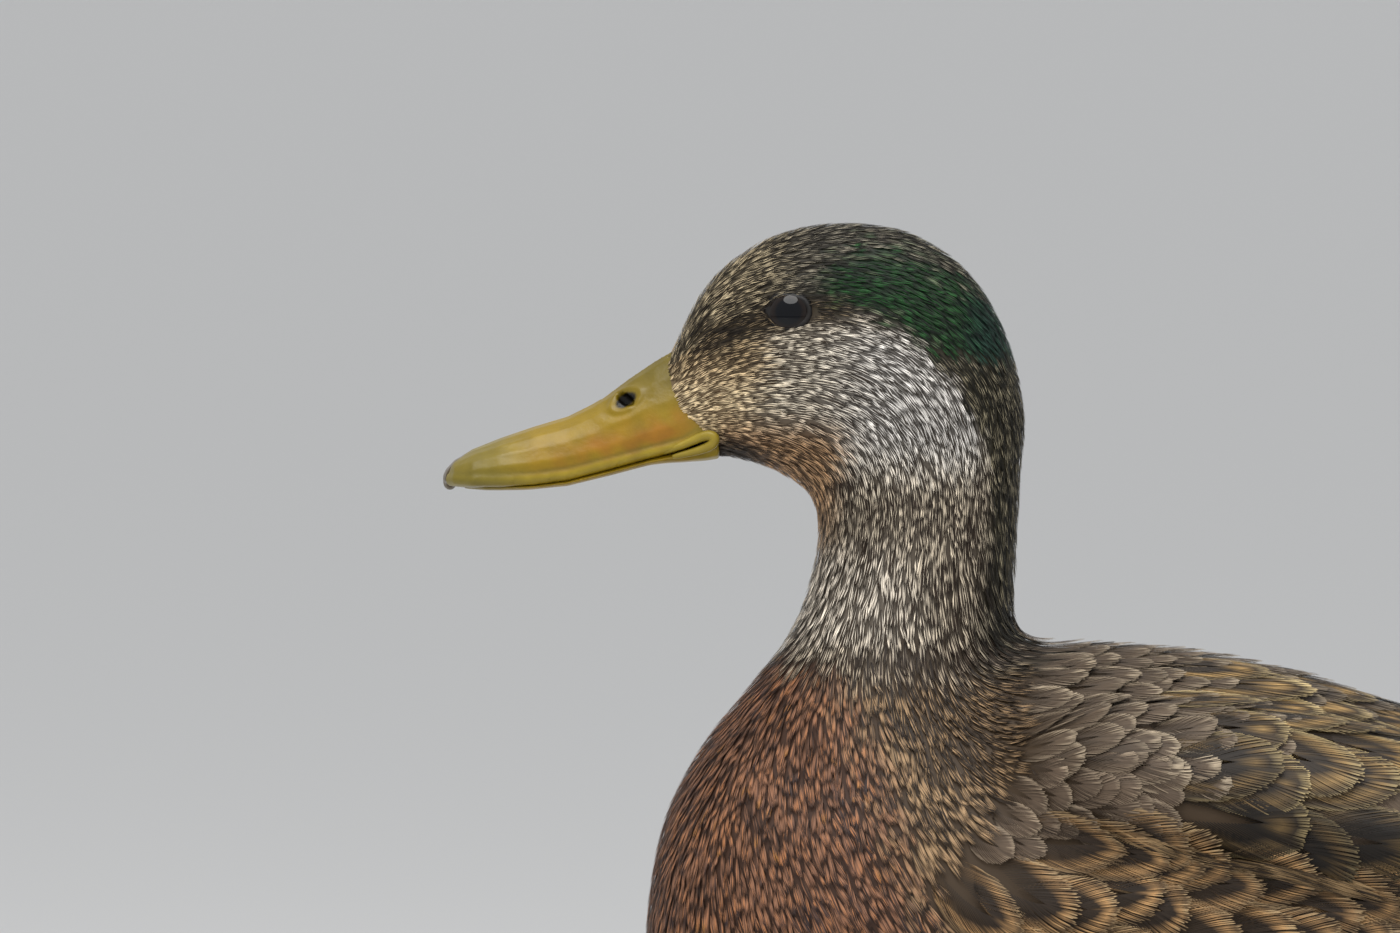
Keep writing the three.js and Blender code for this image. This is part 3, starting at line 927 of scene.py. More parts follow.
# where, colour of the feathers' middles, colour of their sides, how much of each is dark
PLUMAGE = [
    (everywhere, (38, 28, 20), (210, 195, 171), 0.44),
    (cheeks, (46, 36, 26), (242, 229, 206), 0.385),
    (silver_cheek, (54, 48, 41), (238, 233, 226), 0.355),
    (tan_face, (72, 52, 30), (248, 224, 180), 0.29),
    (lores, (44, 32, 19), (226, 197, 152), 0.44),
    (throat, (50, 34, 21), (212, 170, 126), 0.36),
    (chin, (40, 33, 27), (120, 102, 82), 0.6),
    (pale_foreneck, (46, 36, 26), (234, 222, 204), 0.37),
    (hindneck, (24, 22, 14), (124, 116, 96), 0.56),
    (neck_ring, (40, 30, 20), (148, 132, 114), 0.56),
    (cap, (26, 22, 14), (156, 148, 130), 0.54),
    (forehead, (26, 19, 10), (214, 195, 158), 0.45),
    (eye_line, (26, 20, 13), (146, 126, 96), 0.56),
    (nape, (24, 22, 14), (156, 146, 120), 0.54),
    (green_patch, (10, 20, 11), (30, 76, 33), 0.38),
    (teal_nape, (10, 26, 22), (40, 72, 58), 0.44),
    (body_side, (40, 30, 20), (144, 117, 86), 0.45),
    (rear_flank, (52, 38, 24), (176, 154, 122), 0.5),
    (rufous_breast, (48, 33, 26), (124, 87, 65), 0.44),
    (low_breast, (40, 28, 21), (106, 74, 55), 0.47),
    (belly, (54, 42, 32), (134, 112, 84), 0.55),
    (rump, (34, 30, 26), (92, 82, 66), 0.6),
    (vent, (26, 23, 20), (112, 92, 66), 0.66),
]


def plumage(p):
    """Dark colour, pale colour and dark share of the feathers that grow at each point."""
    at = Place(p)
    dark, pale, share = np.zeros((len(p), 3)), np.zeros((len(p), 3)), np.zeros((len(p), 1))
    for where, dark_rgb, pale_rgb, dark_share in PLUMAGE:
        there = where(at)[:, None]
        dark = mix(dark, srgb(*dark_rgb), there)
        pale = mix(pale, srgb(*pale_rgb), there)
        share = mix(share, dark_share, there)
    return dark, pale, share


# ------------------------------------------------------------------ soft feathers
# The front edge of the back's and flank's large feathers, as (up, back) from the eye.
MANTLE_LINE = [(-190, 70), (-160, 52), (-140, 36), (-125, 30), (-113, 30), (-100, 41), (-90, 47), (-60, 47)]
# The top edge of the flank, which laps over the folded wing, as (back, up).
WING_LINE = [
    (60, -100), (74, -110), (85, -108), (96, -110.5), (124, -117.5), (179, -129), (229, -137), (270, -139),
]
EYE_OPENING = (4.25, 3.55)  # half width and half height of the opening in the feathers
EYE_DROP = 0.3  # how far its middle lies under the height that places are measured from
BELLY_TOP = -158


def from_eye(at):
    """Distance from the middle of the eye, 1 at the rim of the opening; far away off its side."""
    away = np.hypot(at.back / EYE_OPENING[0], (at.up + EYE_DROP) / EYE_OPENING[1])
    return np.where(at.side > 8, away, 9)


def bare(at):
    """Whether no feather grows there: on the bill and in the eye's opening."""
    on_bill = at.back < edge_height(BILL_MARGIN, at.up) - 2.0
    return on_bill | (from_eye(at) < 1.04)


def clear_of_eyes(spots, roots):
    """Places of feathers, those over an eye moved up or down to the rim of the opening."""
    back = (spots[..., 0] - EYE[0]) / EYE_OPENING[0]
    middle = EYE[2] - EYE_DROP
    rim = np.sqrt(np.maximum(1 - back**2, 0)) * EYE_OPENING[1]
    over = np.abs(spots[..., 2] - middle) < rim
    over &= np.abs(spots[..., 1]) > 8
    side = np.where(roots[:, None, 2] > middle, 1, -1)
    moved = spots.copy()
    moved[..., 2] = np.where(over, middle + side * rim, spots[..., 2])
    return moved


def behind_mantle_line(at):
    line = edge_height(MANTLE_LINE, at.up)
    return (at.back > line + 1.5 * ripple(at.p, 8, 21)) & (at.up < -60)


def head_zone(at):
    return (at.up > -48) & ~bare(at)


def neck_zone(at):
    low = at.up < np.interp(at.back, [0, 15, 30], [-73, -76, -96])
    return (at.up <= -48) & ~low & ~behind_mantle_line(at)


def breast_zone(at):
    return (at.up <= -48) & (at.up > BELLY_TOP) & ~neck_zone(at) & ~behind_mantle_line(at)


def belly_zone(at):
    return (at.up <= BELLY_TOP) | (vent(at) > 0.5)


def face_spacing(at):
    """Feathers are smallest round the bill and the eye."""
    eye_gap = 4 * (from_eye(at) - 1)
    bill_gap = np.hypot(at.back + 21, at.up + 18) - 7
    return mix(0.36, 0.45, smoothstep(0, 14, np.minimum(eye_gap, bill_gap)))


def breast_spacing(at):
    return mix(0.7, 0.66, rufous_breast(at))


def even_spacing(spacing):
    return lambda at: np.full(len(at.p), float(spacing))


# name: zone, spacing, how much longer it is along the lie, length and width over the spacing,
# tip's height, pairs of barbs, stations, fan
SOFT_COATS = {
    "head_feathers": (head_zone, face_spacing, 5.0, 12.0, 2.4, 0.9, 4, (0, 0.5, 1), 38),
    "neck_feathers": (neck_zone, even_spacing(0.58), 5.0, 12.2, 2.4, 1.15, 4, (0, 0.5, 1), 38),
    "breast_feathers": (breast_zone, breast_spacing, 4.2, 11.6, 3.0, 1.15, 5, (0, 0.4, 1), 36),
    "belly_feathers": (belly_zone, even_spacing(4.4), 1.3, 3.8, 2.0, 2.2, 13, (0, 0.55, 1), 80),
}
SOFT_LEAN = 0.75  # how far below its end a barb leaves the shaft, over the feather's length
TUFT_PATCH = 0.003  # a feather's width on the bake map
BARRED_PATCH = 0.016


def streaked(coat, dark, pale, share):
    """Feathers with a dark streak up the middle, barb by barb."""
    ragged = 0.4 * (coat.barb_dice - 0.5) + 0.3 * (coat.dice[:, :1] - 0.5)
    light = smoothstep(share - 0.08, share + 0.1, np.abs(coat.across) + 0.12 * coat.along - 0.06 + ragged)
    return mix(dark[:, None], pale[:, None], light[..., None])


def spotted(coat, dark, pale, share):
    """Feathers of dark and pale barbs, darker up the middle, in drifts of darker and paler ones."""
    ragged = 0.12 * ripple(coat.roots, 7, 33)[:, None] + 0.12 * (coat.dice[:, :1] - 0.5)
    spot = 0.65 * coat.barb_dice + 0.35 * np.abs(coat.across) + 0.1 * coat.along
    light = smoothstep(share - 0.22, share + 0.3, spot + ragged)
    return mix(dark[:, None], pale[:, None], light[..., None])


def shaded(coat, tint, contrast):
    """Each feather and each barb a little lighter or darker than the next, and painted shade on the deep
    roots, which the feathers over them cover.
    """
    light = mix(0.9, 1.1, coat.dice[:, 1:2]) * (1 + contrast * (coat.barb_dice - 0.5))
    # painted shade: each feather darker towards its root, where the feathers over it lie
    light = light * mix(0.5, 1.0, smoothstep(0.1, 0.5, coat.along))
    return tint * light[..., None]


def fiery(coat, tint):
    """Among the rufous feathers of the breast, orange barbs and slaty spots in drifts."""
    red = rufous_breast(Place(coat.roots))[:, None]
    drift = 0.5 + 0.5 * ripple(coat.roots, 12, 31)[:, None]
    spot = smoothstep(0.2, 0.8, ripple(coat.roots, 6, 35))[:, None]
    outer = smoothstep(0.3, 0.6, coat.along)
    orange = (coat.barb_dice > 0.84 + 0.14 * drift) * outer
    slate = (coat.barb_dice < 0.8) * spot * outer * 0.65
    marked = (coat.dice[:, 3:4] > 0.975) * smoothstep(0.5, 0.7, coat.along) * (coat.barb_dice > 0.4)
    layers = [
        ((46, 42, 48), 0.7 * red * slate),
        ((176, 112, 58), 0.6 * red * orange),
        ((190, 130, 64), 0.7 * red * marked),
    ]
    return layered(tint, layers)


def add_soft_coat(name, skin, field, material, seed):
    zone, spacing, stretch, length, width, lift, pairs, stations, fan = SOFT_COATS[name]
    roots = scattered(skin, zone, spacing, seed, stretch)
    rng = np.random.default_rng(seed + 1)
    gap = spacing(Place(roots))
    long = gap * length * rng.normal(1, 0.2, len(roots)).clip(0.6, 1.4)
    shape = Tuft(pairs, width / length / 2, stations, fan, SOFT_LEAN)
    lines, sides = traced(field, roots, long, rng.normal(0, 0.1, len(roots)))
    rise = np.full(len(roots), lift) * np.minimum(gap / gap.mean(), 1.0)
    coat = Coat(shape, lines, sides, long, gap * width, rise, seed + 2, 0.3, field)
    dark, pale, share = plumage(roots)
    pattern = spotted if name in ("breast_feathers", "belly_feathers") else streaked
    tint = fiery(coat, shaded(coat, pattern(coat, dark, pale, share), 0.55))
    add_painted_coat(name, coat, tint, material, TUFT_PATCH)


# ------------------------------------------------------------------ barred feathers of back and flanks
# middle, bar, outer part and rim; then the bar's distance from the rim, its width, the distance
# from bar to bar and the rim's width, in mm, and how much the rim frays
BARRED_LOOKS = {
    "shoulder": ((72, 59, 47), (80, 67, 54), (84, 70, 57), (140, 124, 104), 2.2, 0.8, 9.0, 0.34, 2.5),
    "mantle": ((60, 49, 38), (74, 61, 48), (77, 64, 51), (156, 141, 119), 2.2, 0.8, 9.0, 0.38, 3.0),
    "lower_back": ((46, 38, 31), (58, 48, 39), (62, 52, 42), (128, 114, 94), 2.2, 0.8, 9.0, 0.45, 3.0),
    "scapular": ((38, 30, 22), (164, 132, 82), (56, 45, 32), (206, 182, 130), 3.0, 1.7, 6.5, 0.55, 0.5),
    "flank": ((36, 27, 19), (166, 128, 84), (84, 66, 46), (150, 126, 92), 2.0, 1.7, 9.0, 0.40, 3.0),
    "rear_flank": ((64, 50, 36), (172, 146, 112), (96, 77, 58), (174, 153, 122), 2.8, 0.8, 6.0, 0.45, 3.0),
    "coverts": ((36, 30, 24), (56, 47, 36), (58, 48, 37), (112, 95, 72), 2.2, 0.8, 9.0, 0.45, 2.5),
}
VERMICULATION = 1.5  # mm between the fine waves of the rear flank


def barred(coat, look, bar_strength):
    """Colours of feathers with a dark middle, U-shaped bars, a duller outer part and a pale rim."""
    middle, bar, outer, rim = (srgb(*rgb) for rgb in BARRED_LOOKS[look][:4])
    place, width, period, rim_width, fray = BARRED_LOOKS[look][4:]
    inside = coat.inside_mm + 0.7 * (coat.barb_dice - 0.5) * coat.shape.reach
    place = place * mix(0.85, 1.2, coat.dice[:, 2:3])
    on_outer = 1 - smoothstep(place - 0.7, place + 0.5, inside)
    from_bar = np.abs((inside - place + period / 2) % period - period / 2)
    on_bar = (1 - smoothstep(width / 2 - 0.3, width / 2 + 0.3, from_bar)) * smoothstep(0, place - 1, inside)
    fringe = rim_width * (0.7 + fray * coat.barb_dice**2)
    on_rim = 1 - smoothstep(fringe - 0.15, fringe + 0.2, coat.inside_mm)
    upper_side = smoothstep(0.7, -0.5, coat.across * np.sign(coat.roots[:, 1:2] + 1e-9))
    tint = mix(middle, outer, on_outer[..., None])
    tint = mix(tint, bar, (on_bar * bar_strength * mix(0.45, 1.0, coat.barb_dice))[..., None])
    rim_strength = mix(0.35, 1.0, upper_side) * mix(0.4, 1.0, coat.dice[:, 3:4])
    return mix(tint, rim, (on_rim * rim_strength)[..., None])


def vermiculated(coat, tint):
    """Fine dark waves across the feather."""
    wave = np.sin((coat.inside_mm + 0.6 * coat.barb_dice) * 2 * math.pi / VERMICULATION)
    return tint * mix(0.6, 1.25, 0.5 + 0.5 * wave)[..., None]


def behind_mantle(at):
    return behind_mantle_line(at) & (vent(at) < 0.5)


def over_wing_line(at, margin=0.0):
    return at.up > edge_height(WING_LINE, at.back) + margin


def mantle_zone(at):
    return behind_mantle(at) & (at.back < 92) & (at.up > -96)


def shoulder_zone(at):
    return behind_mantle(at) & (at.up <= -92) & (at.up > -107) & (at.back < 70)


def scapular_zone(at):
    return (at.back > 66) & (at.back < 134) & over_wing_line(at, 5) & (at.side > 12)


def lower_back_zone(at):
    return (at.back > 85) & (at.side < 26) & (at.up > -150) & (at.back < 262)


def flank_zone(at):
    below = ~over_wing_line(at, -3) & (at.up > BELLY_TOP - 8)
    return behind_mantle(at) & below & (at.back < 112) & (at.up < -104)


def rear_flank_zone(at):
    below = ~over_wing_line(at, -3) & (at.up > BELLY_TOP - 8)
    return behind_mantle(at) & below & (at.back > 104) & (at.back < 262)


# name: zone, spacing, length, width, tip's height, pairs of barbs, how closed the vane is
BARRED_COATS = {
    "rear_flank": (rear_flank_zone, 6.5, 24, 13, 2.8, 30, 0.5),
    "flank": (flank_zone, 7.6, 26, 15, 3.2, 40, 0.6),
    "lower_back": (lower_back_zone, 6.5, 22, 13, 2.2, 24, 1.0),
    "scapular": (scapular_zone, 8.5, 34, 17, 3.0, 44, 1.0),
    "shoulder": (shoulder_zone, 3.9, 13, 7.5, 1.7, 22, 0.9),
    "mantle": (mantle_zone, 4.4, 16, 9, 2.0, 26, 1.0),
}


def add_barred_coat(name, skin, field, material, seed):
    zone, spacing, length, width, lift, pairs, closed = BARRED_COATS[name]
    roots = scattered(skin, zone, even_spacing(spacing), seed)
    rng = np.random.default_rng(seed + 1)
    long = length * rng.normal(1, 0.09, len(roots)).clip(0.75, 1.25)
    lines, sides = traced(field, roots, long, rng.normal(0, 0.1, len(roots)))
    at = Place(roots)
    over_line = at.up - edge_height(WING_LINE, at.back)
    over_wing = name.endswith("flank") * np.exp(-((over_line / 8) ** 2))
    coat = Coat(vane_of_barbs(pairs, width / length, closed), lines, sides, long, width,
                lift + 1.4 * over_wing, seed + 2, mix(0.12, 0.035, closed), field)
    tint = barred(coat, name, mix(0.45, 1.0, rng.random((len(roots), 1))))
    if name == "rear_flank":
        tint = vermiculated(coat, tint)
    if name == "scapular":
        # painted shadow: the scapulars darker towards the wing line, under the flank's edge that laps over
        # them
        tint = tint * mix(0.32, 1.0, smoothstep(5, 26, over_line))[:, None, None]
    add_painted_coat(name, coat, shaded(coat, tint, mix(0.6, 0.35, closed)), material, BARRED_PATCH)


def vane_of_barbs(pairs, slimness, closed):
    """A feather whose barbs lie side by side, with frayed ends where it is less closed."""
    stations = (0, 0.42, mix(0.64, 0.72, closed), mix(0.78, 0.93, closed), mix(0.9, 0.985, closed), 1)
    return Tuft(pairs, slimness / 2, stations, lean=0.3, breadth=mix(1.3, 2.0, closed))


# The row of long soft feathers along the top of the flank, in mm.
EDGE_LENGTH, EDGE_WIDTH, EDGE_STEP, EDGE_DROP, EDGE_LIFT = 22, 5.5, 1.8, 2.0, 4.0


def add_flank_edge(skin, field, material):
    """Long feathers along the top of the flank, which lap over the folded wing."""
    line = rounded_path(WING_LINE)
    reach = np.concatenate([[0], np.cumsum(np.linalg.norm(np.diff(line, axis=0), axis=1))])
    starts = np.arange(0, reach[-1] - EDGE_LENGTH, EDGE_STEP)
    roots, tips = (
        beside(skin, np.column_stack([np.interp(s, reach, line[:, k]) for k in (0, 1)]) - (0, EDGE_DROP))
        for s in (starts, starts + EDGE_LENGTH)
    )
    lines, sides = aimed(field, roots, tips)
    long = np.full(len(roots), float(EDGE_LENGTH))
    shape = Tuft(7, EDGE_WIDTH / EDGE_LENGTH / 2, (0, 0.3, 0.65, 1), 40, 0.8)
    coat = Coat(shape, lines, sides, long, EDGE_WIDTH, np.full(len(roots), EDGE_LIFT), 290, 0.25, field)
    dark = np.tile(srgb(44, 33, 22), (len(roots), 1))
    pale = np.tile(srgb(132, 108, 76), (len(roots), 1))
    tint = spotted(coat, dark, pale, np.full((len(roots), 1), 0.52))
    add_painted_coat("flank_edge", coat, shaded(coat, tint, 0.5), material, TUFT_PATCH)


def add_painted_coat(name, coat, tint, material, patch):
    """A coat in two pieces, left and right, with its colours."""
    for side, sign in SIDES.items():
        half = np.sign(coat.roots[:, 1] + 1e-9) == sign
        mesh = coat.only(half).mesh(f"{name}_{side}", patch)
        paint(mesh, "tint", tint[half].reshape(-1, 3))
        add_piece(f"{name}_{side}", mesh, material)


# ------------------------------------------------------------------ firm feathers
VANE_LOOKS = {
    # middle, edge, width of the edge in mm
    "tertial": ((66, 54, 42), (150, 130, 98), 0.45),
    "speculum": ((44, 42, 92), (150, 144, 132), 0.8),
    "primary": ((54, 45, 37), (100, 86, 68), 0.3),
    "tail": ((80, 68, 55), (164, 148, 122), 0.55),
    "curl": ((16, 21, 20), (30, 36, 31), 0.3),
}
BARB_SLOPE = 1.3  # how far a barb runs along its feather for each mm across


def vane_material(name):
    """A dark vane with a ragged pale rim, lined along its barbs."""
    n = Nodes(name)
    inside_rim, barb, across = n.split(n.add("ShaderNodeAttribute", attribute_name="vane").outputs["Vector"])
    coarse = n.noise_1d(barb, 1.1)
    fine = n.noise_1d(barb, 3.2)
    ragged = n.math("MULTIPLY_ADD", n.math("SUBTRACT", coarse, 0.5), 1.2, inside_rim)
    ragged = n.math("MULTIPLY_ADD", n.math("SUBTRACT", fine, 0.5), 0.7, ragged)
    colour = n.blend(n.ramp(ragged, 0.25, -0.25), n.painted("tint"), n.painted("edge"))
    lines = n.math("MULTIPLY_ADD", n.math("ADD", fine, coarse), 0.55, 0.45)
    shaft = n.ramp(n.math("ABSOLUTE", across), 0.12, 0.32)
    colour = n.scaled(colour, n.math("MULTIPLY", lines, n.math("MULTIPLY_ADD", shaft, 0.45, 0.55)))
    bump = n.bump(fine, 0.55, 0.0003)
    return n.finish(Base_Color=colour, Roughness=0.55, Normal=bump, Specular_IOR_Level=0.25)


def add_vanes(name, coat, look, material, patch, replaces=()):
    """Firm feathers as a piece, with what their material reads."""
    middle, edge, rim = VANE_LOOKS[look]
    n, count = coat.across.shape
    light = mix(0.8, 1.2, coat.dice[:, :1]) * mix(1.25, 0.8, smoothstep(0.5, 7, coat.inside_mm))
    edges = np.tile(srgb(*edge), (n, count, 1)) * mix(0.85, 1.15, coat.dice[:, 1:2, None])
    barb = coat.along_mm - BARB_SLOPE * np.abs(coat.across_mm) + 1000 * coat.dice[:, 2:3]
    barb = barb + 37 * (coat.across_mm > 0)
    inside_rim = coat.inside_mm - rim * mix(0.8, 1.25, coat.dice[:, 3:4])
    mesh = coat.mesh(name, patch)
    paint(mesh, "tint", (srgb(*middle) * light[..., None]).reshape(-1, 3))
    paint(mesh, "edge", edges.reshape(-1, 3))
    paint_vector(mesh, "vane", np.stack([inside_rim, barb, coat.across_mm], -1).reshape(-1, 3))
    return add_piece(name, mesh, material, replaces)


# ------------------------------------------------------------------ wing, tail and curled feathers
# On each side, from the upper one down: root and tip as (back, up) from the eye.
TERTIALS = [
    ((112, -88), (228, -121)),
    ((107, -94), (222, -126)),
    ((102, -100), (210, -129)),
    ((98, -106), (194, -129)),
]
SECONDARIES = [((118 + 8 * k, -113 - 1.7 * k), (168 + 8 * k, -124 - 1.7 * k)) for k in range(6)]
QUILLS = [
    ((196, -118), (270, -136)),
    ((188, -121), (260, -138)),
    ((178, -124), (250, -139)),
    ((166, -125), (238, -138)),
]
# Of the blue patch only the ends show, below the tertials; the quills show between them and the flank.
# name: places, outline, width, height of the lowest one's tip, how much higher each one above it
# lies, seed, look and width on the bake map
FOLDED_WING = {
    "speculum": (SECONDARIES, (8, 12, 0.8, 0.7, 2.6), 15, 2.4, 0, 502, "speculum", 0.06),
    "tertials": (TERTIALS, (10, 16, 0.72, 0.6, 1.7), 25, 4.2, 0.8, 501, "tertial", 0.022),
    "quills": (QUILLS, (8, 14, 0.7, 0.7, 1.6), 12, 1.2, 0.45, 506, "primary", 0.06),
}
# The long quills of the wing tips, from the outermost to the innermost, as (x, y, z) of the left
# ones' roots and (x, z) of their tips; their tips lie on a line of (x, y).
PRIMARIES = 6
PRIMARY_ROOTS = np.array([(52, 43, 143.5), (84, 33, 134.5)])
PRIMARY_TIPS = np.array([(118, 131), (WING_END - 1, 124.5)])
PRIMARY_LINE = [(105, 26), (133, 16.5), (155, 10.2), (167, 7.6)]
PRIMARY_WIDTH = 11
TAIL_FEATHERS = 18
TAIL_LENGTH, TAIL_WIDTH = 82, 17
TAIL_ROOT_HALF, TAIL_ROOT_HEIGHT = 15, 117  # of the fan's root
TAIL_SAG = 2.5  # how far the feathers hang below a straight line
CURL_OFFSETS, CURL_LEANS = (-3.2, 3.2, 0), (-38, 38, 30)  # mm off the mid-plane, and degrees
CURL_EDGE = 0.7  # between the CAD curl's outline and the middle lines of the blades
CURL_WIDTH = 7.5
COVERT_ROWS, COVERTS_AROUND = 5, 20
COVERT_FIRST, COVERT_STEP = 108.0, 7.0  # x of the first row's roots, and from row to row
COVERT_LENGTH, COVERT_WIDTH = 33.0, 15.0
COVERT_TOP = 121  # no covert starts higher, as the tips of the wings lie there
COVERT_BUNDLE = (21, 2.5, 113.5)  # half width, half thickness and height of the coverts' ends on the tail


def add_folded(name, skin, field, material):
    """A row of firm feathers of the folded wing, on both sides."""
    places, outline, width, lift, step, seed, look, patch = FOLDED_WING[name]
    roots, tips = (beside(skin, ends) for ends in zip(*places))
    lines, sides = aimed(field, roots, tips)
    length = np.linalg.norm(tips - roots, axis=1)
    layer = np.tile(np.arange(len(places))[::-1], 2)
    coat = Coat(Vane(*outline), lines, sides, length, width, lift + step * layer, seed, field=field)
    add_vanes(name, coat, look, material, patch)


def add_primaries(material):
    """The long quills, whose tips cross over the rump."""
    k = np.linspace(0, 1, PRIMARIES)[:, None]
    tip_x, tip_z = mix(*PRIMARY_TIPS, k).T
    tips = np.column_stack([tip_x, edge_height(PRIMARY_LINE, tip_x), tip_z])
    roots, tips = both_sides(mix(*PRIMARY_ROOTS, k)), both_sides(tips)
    t = np.linspace(0, 1, 9)[None, :, None]
    lines = mix(roots[:, None], tips[:, None], t)
    outward = np.sign(roots[:, 1])[:, None, None]
    sides = unit(ACROSS - outward * UP * mix(0.9, 0.4, t))
    sides = np.broadcast_to(sides, lines.shape)
    length = np.linalg.norm(tips - roots, axis=1)
    lift = 1.6 + 0.5 * np.tile(np.arange(PRIMARIES)[::-1], 2)
    coat = Coat(Vane(8, 14, 0.6, 0.8, 1.5), lines, sides, length, PRIMARY_WIDTH, lift, 503)
    add_vanes("primaries", coat, "primary", material, 0.06)


def add_tail(material):
    """The fan of the tail, its middle feathers on top."""
    share = np.linspace(-1, 1, TAIL_FEATHERS)
    inner = 1 - np.abs(share)
    tips = np.column_stack([
        TAIL_HIGH[0] - TAIL_LENGTH * 0.1 * share**2,
        share * (TAIL_HIGH[1] - 5),
        TAIL_LOW[2] + 6.5 + 2.0 * inner,
    ])
    root_x = np.full(TAIL_FEATHERS, TAIL_HIGH[0] - TAIL_LENGTH)
    roots = np.column_stack([root_x, share * TAIL_ROOT_HALF, TAIL_ROOT_HEIGHT + 3 * inner])
    t = np.linspace(0, 1, 7)[None, :, None]
    lines = mix(roots[:, None], tips[:, None], t) - TAIL_SAG * UP * np.sin(math.pi * t)
    sides = np.broadcast_to(unit(ACROSS - 0.3 * share[:, None, None] * UP), lines.shape)
    length = np.linalg.norm(tips - roots, axis=1)
    coat = Coat(Vane(8, 12, 0.78, 0.6, 1.9), lines, sides, length, TAIL_WIDTH, 0.4 + 1.6 * inner, 504)
    add_vanes("tail_fan", coat, "tail", material, 0.035, ["tail"])


def covert_place(skin, x, turn):
    """A point round the rump, or behind it on the flat bundle that closes over the tail, and its normal."""
    half_width, half_depth, height = COVERT_BUNDLE
    out = Vector((0, math.cos(turn), math.sin(turn)))
    hit = skin.tree.ray_cast(Vector((min(x, RUMP_END - 4), 0, height)) + 120 * out, -out)[0]
    bundle = Vector((x, half_width * out.y, height + half_depth * out.z))
    flat_out = Vector((0, half_depth * out.y, half_width * out.z)).normalized()
    rump = Vector((x, hit.y, min(hit.z, COVERT_TOP)))
    closed = float(smoothstep(RUMP_END - 6, RUMP_END + 24, x))
    return rump.lerp(bundle, closed), out.lerp(flat_out, closed)


def add_coverts(skin, material):
    """Rows of feathers round the end of the rump, which close over the root of the tail."""
    places = []
    for row in range(COVERT_ROWS):
        stations = COVERT_FIRST + COVERT_STEP * row + COVERT_LENGTH * np.linspace(0, 1, 7)
        for k in range(COVERTS_AROUND):
            turn = 2 * math.pi * (k + 0.25 + row % 2 / 2) / COVERTS_AROUND
            places.append([covert_place(skin, x, turn) for x in stations])
    lines, outs = np.moveaxis(np.array(places), 2, 0)
    sides = unit(np.cross(outs, np.gradient(lines, axis=1)))
    shape = vane_of_barbs(18, COVERT_WIDTH / COVERT_LENGTH, 0.7)
    long = np.full(len(lines), COVERT_LENGTH)
    coat = Coat(shape, lines, sides, long, COVERT_WIDTH, np.full(len(lines), 2.2), 507, 0.08)
    tint = barred(coat, "coverts", 0.5)
    add_painted_coat("tail_coverts", coat, shaded(coat, tint, 0.4), material, BARRED_PATCH)


def add_curl(material):
    """The curled feathers over the drake's tail: blades that rise and roll forwards."""
    radius = (CURL_HIGH[2] - CURL_LOW[2]) / 2 - CURL_EDGE
    middle = np.array([CURL_HIGH[0] - radius - CURL_EDGE, 0, CURL_HIGH[2] - radius - CURL_EDGE])
    lines = []
    for k, offset in enumerate(CURL_OFFSETS):
        turn = np.linspace(-0.35, 1.35 - 0.2 * k, 22) * math.pi
        shrink = radius * (1 - 0.35 * np.clip(turn / (1.4 * math.pi), 0, 1)) * (1 - 0.1 * k)
        x = np.where(turn < 0, turn / math.pi * 42, shrink * np.sin(turn))
        z = np.where(turn < 0, -radius + 0.5 * turn, -shrink * np.cos(turn))
        lines.append(middle + np.column_stack([x, np.full(len(x), offset), z]))
    lines = np.array(lines)
    along = unit(np.gradient(lines, axis=1))
    lean = np.radians(CURL_LEANS)[:, None, None]
    sides = np.cos(lean) * ACROSS + np.sin(lean) * np.cross(along, ACROSS)
    length = np.linalg.norm(np.diff(lines, axis=1), axis=2).sum(1)
    lift = np.full(len(lines), 0.2)
    coat = Coat(Vane(6, 30, 0.6, 0.7, 1.8), lines, sides, length, CURL_WIDTH, lift, 505)
    add_vanes("curl", coat, "curl", material, 0.2, ["tail_curl"])


# ------------------------------------------------------------------ bill
# Heights of the mouth line, as (back, up) from the eye.
MOUTH_LINE = [
    (-66, -36.8), (-60, -36.8), (-53, -36.5), (-46, -35.6), (-39, -33.8), (-33, -32.2),
    (-27.5, -30.8), (-22, -29.4), (-17, -26.6),
]
NOSTRIL = {"back": -33.7, "up": -19.1, "half_length": 2.5, "half_height": 1.35, "tilt": math.radians(32)}
BILL_VOXEL = 0.45
NAIL_VOXEL = 0.3
GAPE_FOLD = [
    (-26, -29.8), (-21, -28.0), (-17.2, -26.2), (-15.2, -26.5), (-15.6, -28.3), (-19, -29.6), (-24, -30.8),
]


def smooth_copy(nodes, voxel, rounds, grow=0.0):
    """An even, rounded copy of some CAD nodes that keeps their size."""
    points, quads = remeshed(welded(nodes, grow), voxel)
    edges = edges_of(quads)
    for _ in range(rounds):
        points = relaxed(points, edges, 1, 0.5)
        points = relaxed(points, edges, 1, -0.52)
    return points, quads, unit(relaxed(point_normals(points, quads), edges, 2))


def nostril_reach(at):
    """Distance from the nostril's middle, where 1 is its rim."""
    x = at.back - NOSTRIL["back"]
    z = at.up - NOSTRIL["up"]
    c, s = math.cos(NOSTRIL["tilt"]), math.sin(NOSTRIL["tilt"])
    return np.hypot((x * c + z * s) / NOSTRIL["half_length"], (z * c - x * s) / NOSTRIL["half_height"])


def bump_at(value, place, width):
    return np.exp(-(((value - place) / width) ** 2))


def bill_relief(at):
    """Height of the raised rims and shallow grooves of the bill, in mm."""
    over_mouth = at.up - edge_height(MOUTH_LINE, at.back)
    lip = 0.16 * bump_at(over_mouth, 1.3, 0.8) - 0.18 * bump_at(over_mouth, 2.9, 0.9)
    rim = 0.36 * bump_at(nostril_reach(at), 1.42, 0.3)
    fold = 0.14 * bump_at(nostril_reach(at), 2.6, 0.5) * (at.up < NOSTRIL["up"])
    return lip * smoothstep(-18, -24, at.back) + rim + fold


